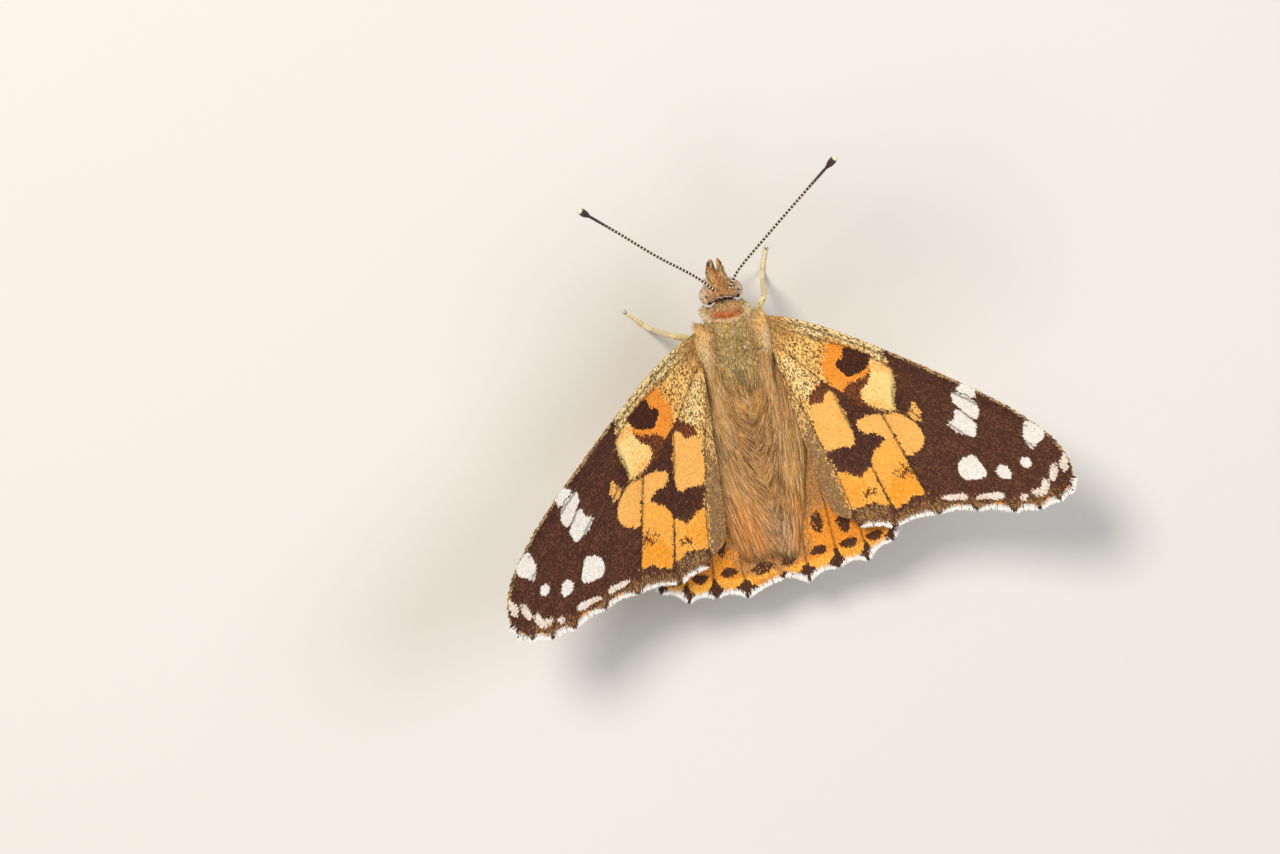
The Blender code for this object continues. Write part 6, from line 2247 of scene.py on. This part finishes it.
        plan, tints = self.strew(rng, 1100, (-1.9, 1.9), (-2.7, -0.9), kept)
        out, back = plan.T
        aims = unit(np.stack([0.7 * out, 0.25 + 0.75 * eased(back, -2.4, -1.7)], axis=1))
        reach = 0.42 + 0.3 * eased(np.abs(out), 0.9, 1.6)
        ruff = Coat(1.0, 5, 0.025, 0.05, lift=0.2, stray=0.25, contrast=0.3, pale=0.22, dark=0.06, root_shade=0.6)
        self.comb(heap, ruff, plan, reach, tints * self.locks(plan * 2.0, 21, rng, 0.2), rng, aims)
        line = [(1.75, -1.6), (1.0, -1.3), (0.2, -1.15), (-0.7, -1.1), (-1.7, -1.2)]
        plan, _, _ = along_line(rng, line, 260, 0.06)
        aims = unit(np.stack([0.3 * plan[:, 0], np.ones(len(plan))], axis=1))
        self.comb(heap, ruff, plan, 0.5, plain("#efcd94", len(plan)), rng, aims)

    def make_back(self) -> None:
        """Grow the short olive hair of the back, and the longer tan hair behind it."""
        rng = np.random.default_rng(81)
        heap = Heap()
        plan, tints = self.strew(rng, 1560, (-2.45, 2.45), (-1.2, 5.0))
        reach = 0.6 + 0.9 * eased(plan[:, 1], 1.5, 5.0)
        felt = Coat(1.0, 5, 0.025, 0.07, lift=0.14, stray=0.34, contrast=0.4, pale=0.1, dark=0.12, root_shade=0.66)
        self.comb(heap, felt, plan, reach, tints * self.locks(plan * 1.7, 3, rng, 0.25), rng)
        for points in ([(0.42, 1.0), (0.36, 1.3)], [(-0.72, 1.5), (-0.86, 1.8)]):
            plan, _, aims = along_line(rng, points, 7, 0.02)
            tick = Coat(1.0, 2, 0.045, 0.015, lift=0.35, stray=0.1, root_shade=1.0)
            self.comb(heap, tick, plan, 0.3, plain("#fffaf0", 7), rng, aims)
        plan, tints = self.strew(rng, 580, (-2.3, 2.3), (3.2, 7.4))
        tan = Coat(
            1.0, 5, 0.028, 0.09, gather=0.4, lift=0.22, stray=0.12, stops=4, contrast=0.4, pale=0.18, dark=0.12
        )
        self.comb(heap, tan, plan, 2.2, tints * self.locks(plan, 4, rng), rng)
        add_piece("back_hair", heap, BODY_HAIR, slot="body_hair")

    def make_abdomen(self) -> None:
        """Grow the abdomen's long chevrons."""
        rng = np.random.default_rng(82)

        def kept(out: np.ndarray, back: np.ndarray) -> np.ndarray:
            """Roots cover the abdomen and the gap beside it, and narrow to the tail."""
            half = np.interp(back, [5.5, 9.0, 14.0, 17.5, 20.5], [2.4, 2.75, 2.5, 1.6, 0.5])
            return (np.abs(out) < half).astype(float)

        for number, (first, last) in enumerate(((5.2, 11.5), (11.5, 20.0))):
            heap = Heap()
            plan, tints = self.strew(rng, 1500, (-2.8, 2.8), (first, last), kept)
            side, back = np.abs(plan[:, 0]), plan[:, 1]
            # Painted shade: the hair along the midline of the abdomen's front half is darkened towards a deep brown, as
            # shade in the hollow behind the thorax.
            hollow = (1.0 - eased(side, 0.5, 1.5)) * (1.0 - eased(back, 10.5, 13.0)) * 0.4
            tints = blended(tints, "#8a6234", hollow) * self.locks(plan, 5 + number, rng, 0.42)
            reach = 2.3 + 0.6 * eased(back, 8.0, 12.0) - 0.7 * eased(back, 17.0, 20.0)
            reach = reach * (0.55 + 0.45 * eased(side, 0.2, 1.4))
            reach = np.minimum(reach, np.maximum(21.8 - back, 0.8))
            silk = Coat(
                1.0, 5, 0.027, 0.1, gather=0.4, lift=0.24, stray=0.07, stops=4, contrast=0.4, pale=0.16, dark=0.16,
                root_shade=0.55
            )
            self.comb(heap, silk, plan, reach, tints, rng)
            name = ("abdomen_front_hair", "abdomen_rear_hair")[number]
            add_piece(name, heap, BODY_HAIR, slot="body_hair")

    def make_ridge(self, side: Side) -> None:
        """Grow the pale ridge that runs over a wing root's plate, and the gold line behind it."""
        rng = np.random.default_rng(21 + side.value)
        heap = Heap()
        line = [(out, back) for back, out, _ in self.ridge[2:]]
        plan, share, aims = along_line(rng, line, 1000, 0.3)
        beside = np.abs(plan[:, 0] - np.interp(plan[:, 1], *np.array(self.ridge).T[:2]))
        tints = blended("#f5c274", "#f0cf9a", eased(share, 0.1, 0.4))
        tints = blended(tints, "#cf9c5c", eased(share, 0.5, 0.85))
        tints = blended(tints, "#d09a56", 0.75 * eased(beside, 0.35, 0.6))
        tints = tints * self.locks(plan * 1.3, 30, rng, 0.16)
        sleek = Coat(1.0, 5, 0.025, 0.07, lift=0.14, stray=0.14, contrast=0.3, pale=0.3, root_shade=0.7)
        plan[:, 0] *= side.value
        aims[:, 0] *= side.value
        self.comb(heap, sleek, plan, 0.95, tints, rng, aims)
        line = [(2.5, 2.2), (2.35, 3.6), (2.35, 5.2), (2.5, 7.0), (2.6, 9.6)]
        plan, _, _ = along_line(rng, line, 260, 0.2)
        plan[:, 0] *= side.value
        gold = Coat(1.0, 5, 0.028, 0.1, gather=0.3, lift=0.3, stray=0.05, stops=4, contrast=0.3, pale=0.3)
        self.comb(heap, gold, plan, 2.2, plain("#ecb870", len(plan)), rng)
        name = f"tegula_{side.word}_hair"
        add_piece(name, heap, BODY_HAIR, slot="body_hair")

    def make_side(self, side: Side) -> None:
        """Grow the straight hair of a hindwing's inner half."""
        sign = side.value
        rng = np.random.default_rng(84 + sign)
        heap = Heap()
        outer_ends = (4.6, 4.6, 4.1, 3.3) if side is Side.LEFT else (4.2, 3.2, 1.9, 1.3)

        def kept(out: np.ndarray, back: np.ndarray) -> np.ndarray:
            """Roots run along the body's side and thin out towards the margin."""
            inner = np.interp(back, [2.5, 8.0, 13.0, 18.0, 21.0], [2.1, 2.2, 1.7, 0.9, 0.5])
            outer = np.interp(back, [2.5, 6.0, 10.0, 14.0, 18.0, 21.0], [3.0, 3.8, *outer_ends])
            thin = 1.0 - 0.8 * eased(back, 15.5, 20.0)
            return ((out * sign > inner) & (out * sign < outer)) * thin

        plan, _ = self.strew(rng, 1450, tuple(sorted((0.4 * sign, 4.8 * sign))), (2.5, 19.5), kept)
        out, back = plan[:, 0] * sign, plan[:, 1]
        tints = blended("#cc9858", "#ecb874", eased(out, 1.5, 2.6))
        tints = blended(tints, "#f4a450", 0.8 * eased(back, 12.0, 15.5) * eased(out, 0.9, 1.8))
        tints = blended(tints, "#c69e70", 0.6 * (1.0 - eased(out, 1.0, 1.9)) * eased(back, 11.0, 15.0))
        reach = np.minimum(3.9, np.maximum(21.9 - back - 0.25 * out, 0.9))
        silk = Coat(
            1.0, 5, 0.028, 0.11, gather=0.4, lift=0.22, stray=0.045, stops=4, contrast=0.4, pale=0.16, dark=0.16,
            root_shade=0.55
        )
        self.comb(heap, silk, plan, reach, tints * self.locks(plan, 12, rng, 0.36), rng)
        name = f"hindwing_{side.word}_hair"
        add_piece(name, heap, BODY_HAIR, slot="body_hair")


MID_LEGS = {
    Side.RIGHT: [(0.9, 1.3, 5.9), (1.4, 1.2, 5.1), (4.0, -1.9, 7.1), (4.7, -2.9, 1.8), (5.1, -3.5, 0.16),
        (5.9, -5.3, 0.16)],
    Side.LEFT: [(0.9, 1.3, 5.9), (1.4, 1.2, 5.1), (5.1, -0.5, 7.0), (6.1, -1.0, 1.8), (6.6, -1.5, 0.16),
        (7.8, -2.9, 0.16)],
}
HIND_LEGS = {
    Side.RIGHT: [(0.9, 4.0, 5.4), (1.3, 4.2, 4.6), (4.5, 6.6, 4.7), (6.0, 11.0, 1.7), (6.8, 13.2, 0.16),
        (7.4, 15.9, 0.16)],
    Side.LEFT: [(0.9, 4.0, 5.4), (1.3, 4.2, 4.6), (4.7, 6.4, 4.7), (6.3, 10.7, 1.7), (7.2, 12.9, 0.16),
        (8.0, 15.5, 0.16)],
}


# Studio


@dataclass
class Studio:
    """The plain floor, the soft lights and the camera."""

    lens: float = 133.655
    camera_place: tuple = (46.148, -121.058, 399.694)
    camera_right: tuple = (-0.963563, 0.216592, 0.156953)
    camera_up: tuple = (-0.253158, -0.927902, -0.273695)
    floor_half: float = 900.0
    focus_m: tuple = (0.0, 0.0, 0.008)

    def make_camera(self) -> None:
        """Set the camera where the photo was taken from."""
        turned = frame_vectors(np.array([self.camera_right, self.camera_up]))
        right, up = (Vector(row).normalized() for row in turned)
        behind = right.cross(up).normalized()
        place = Vector(to_frame(*np.array([self.camera_place]).T)[0]) * MM
        camera = bpy.data.cameras.new("camera")
        camera.lens = self.lens
        camera.clip_start = 0.01
        camera.clip_end = 20.0
        holder = bpy.data.objects.new("camera", camera)
        bpy.context.scene.collection.objects.link(holder)
        holder.matrix_world = Matrix.Translation(place) @ Matrix((right, up, behind)).transposed().to_4x4()
        bpy.context.scene.camera = holder

    def make_floor(self) -> None:
        """Lay the floor."""
        bpy.ops.object.select_all(action="DESELECT")
        bpy.ops.mesh.primitive_plane_add(size=2.0 * self.floor_half * MM)
        floor = bpy.context.object
        floor.name = "floor"
        floor.data.materials.append(FloorFinish().material())

    def add_light(self, name: str, place: tuple, size: float, power: float, colour: str) -> None:
        """Hang a soft area light that faces the butterfly.

        Args:
            name: its name.
            place: where it hangs, in metres.
            size: its side, in metres.
            power: in watts.
            colour: its sRGB hex colour.
        """
        lamp = bpy.data.lights.new(name, "AREA")
        lamp.shape = "DISK"
        lamp.size = size
        lamp.energy = power
        lamp.color = tuple(linear(colour))
        holder = bpy.data.objects.new(name, lamp)
        bpy.context.scene.collection.objects.link(holder)
        holder.location = place
        holder.rotation_euler = (Vector(self.focus_m) - Vector(place)).to_track_quat("-Z", "Y").to_euler()

    def make_lights(self) -> None:
        """Light the floor softly from all round, and the butterfly from ahead and the left."""
        world = bpy.data.worlds.new("studio")
        world.use_nodes = True
        world.node_tree.nodes["Background"].inputs["Color"].default_value = rgba("#faf8f4")
        world.node_tree.nodes["Background"].inputs["Strength"].default_value = 0.33
        bpy.context.scene.world = world
        self.add_light("key", (0.16, -0.22, 0.42), 0.16, 1.9, "#fff6ea")
        self.add_light("fill", (-0.32, -0.05, 0.35), 0.3, 0.8, "#f0f4ff")
        self.add_light("rim", (0.1, 0.4, 0.3), 0.25, 0.6, "#ffffff")
        bpy.context.scene.view_settings.view_transform = "Standard"

    def make(self) -> None:
        """Set up the whole studio."""
        self.make_floor()
        self.make_lights()
        self.make_camera()


def main() -> None:
    """Build the finished butterfly in order."""
    logging.basicConfig(level=logging.INFO, format="%(message)s")
    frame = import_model()
    log.info("frame: %d nodes", len(frame["nodes"]))
    trunk = Trunk()
    forewings = {side: Forewing(side, seed=1) for side in Side}
    hindwings = {side: Hindwing(side, seed=2, over=forewings[side]) for side in Side}
    pelt = Pelt(trunk, hindwings[Side.LEFT])
    trunk.make_skin()
    trunk.make_coat(pelt)
    pelt.make_back()
    pelt.make_abdomen()
    Tongue().make()
    for side in Side:
        forewings[side].make()
        hindwings[side].make()
        WingHair(forewings[side]).make_fore()
        pelt.make_side(side)
        pelt.make_ridge(side)
        Eye(side).make()
        Antenna(side).make()
        Palp(side).make()
        Tegula(side).make()
        Leg(f"midleg_{side.word}", side, MID_LEGS[side]).make()
        Leg(f"hindleg_{side.word}", side, HIND_LEGS[side]).make()
        Foreleg(side).make()
    Studio().make()
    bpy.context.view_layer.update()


if __name__ == "__main__":
    main()
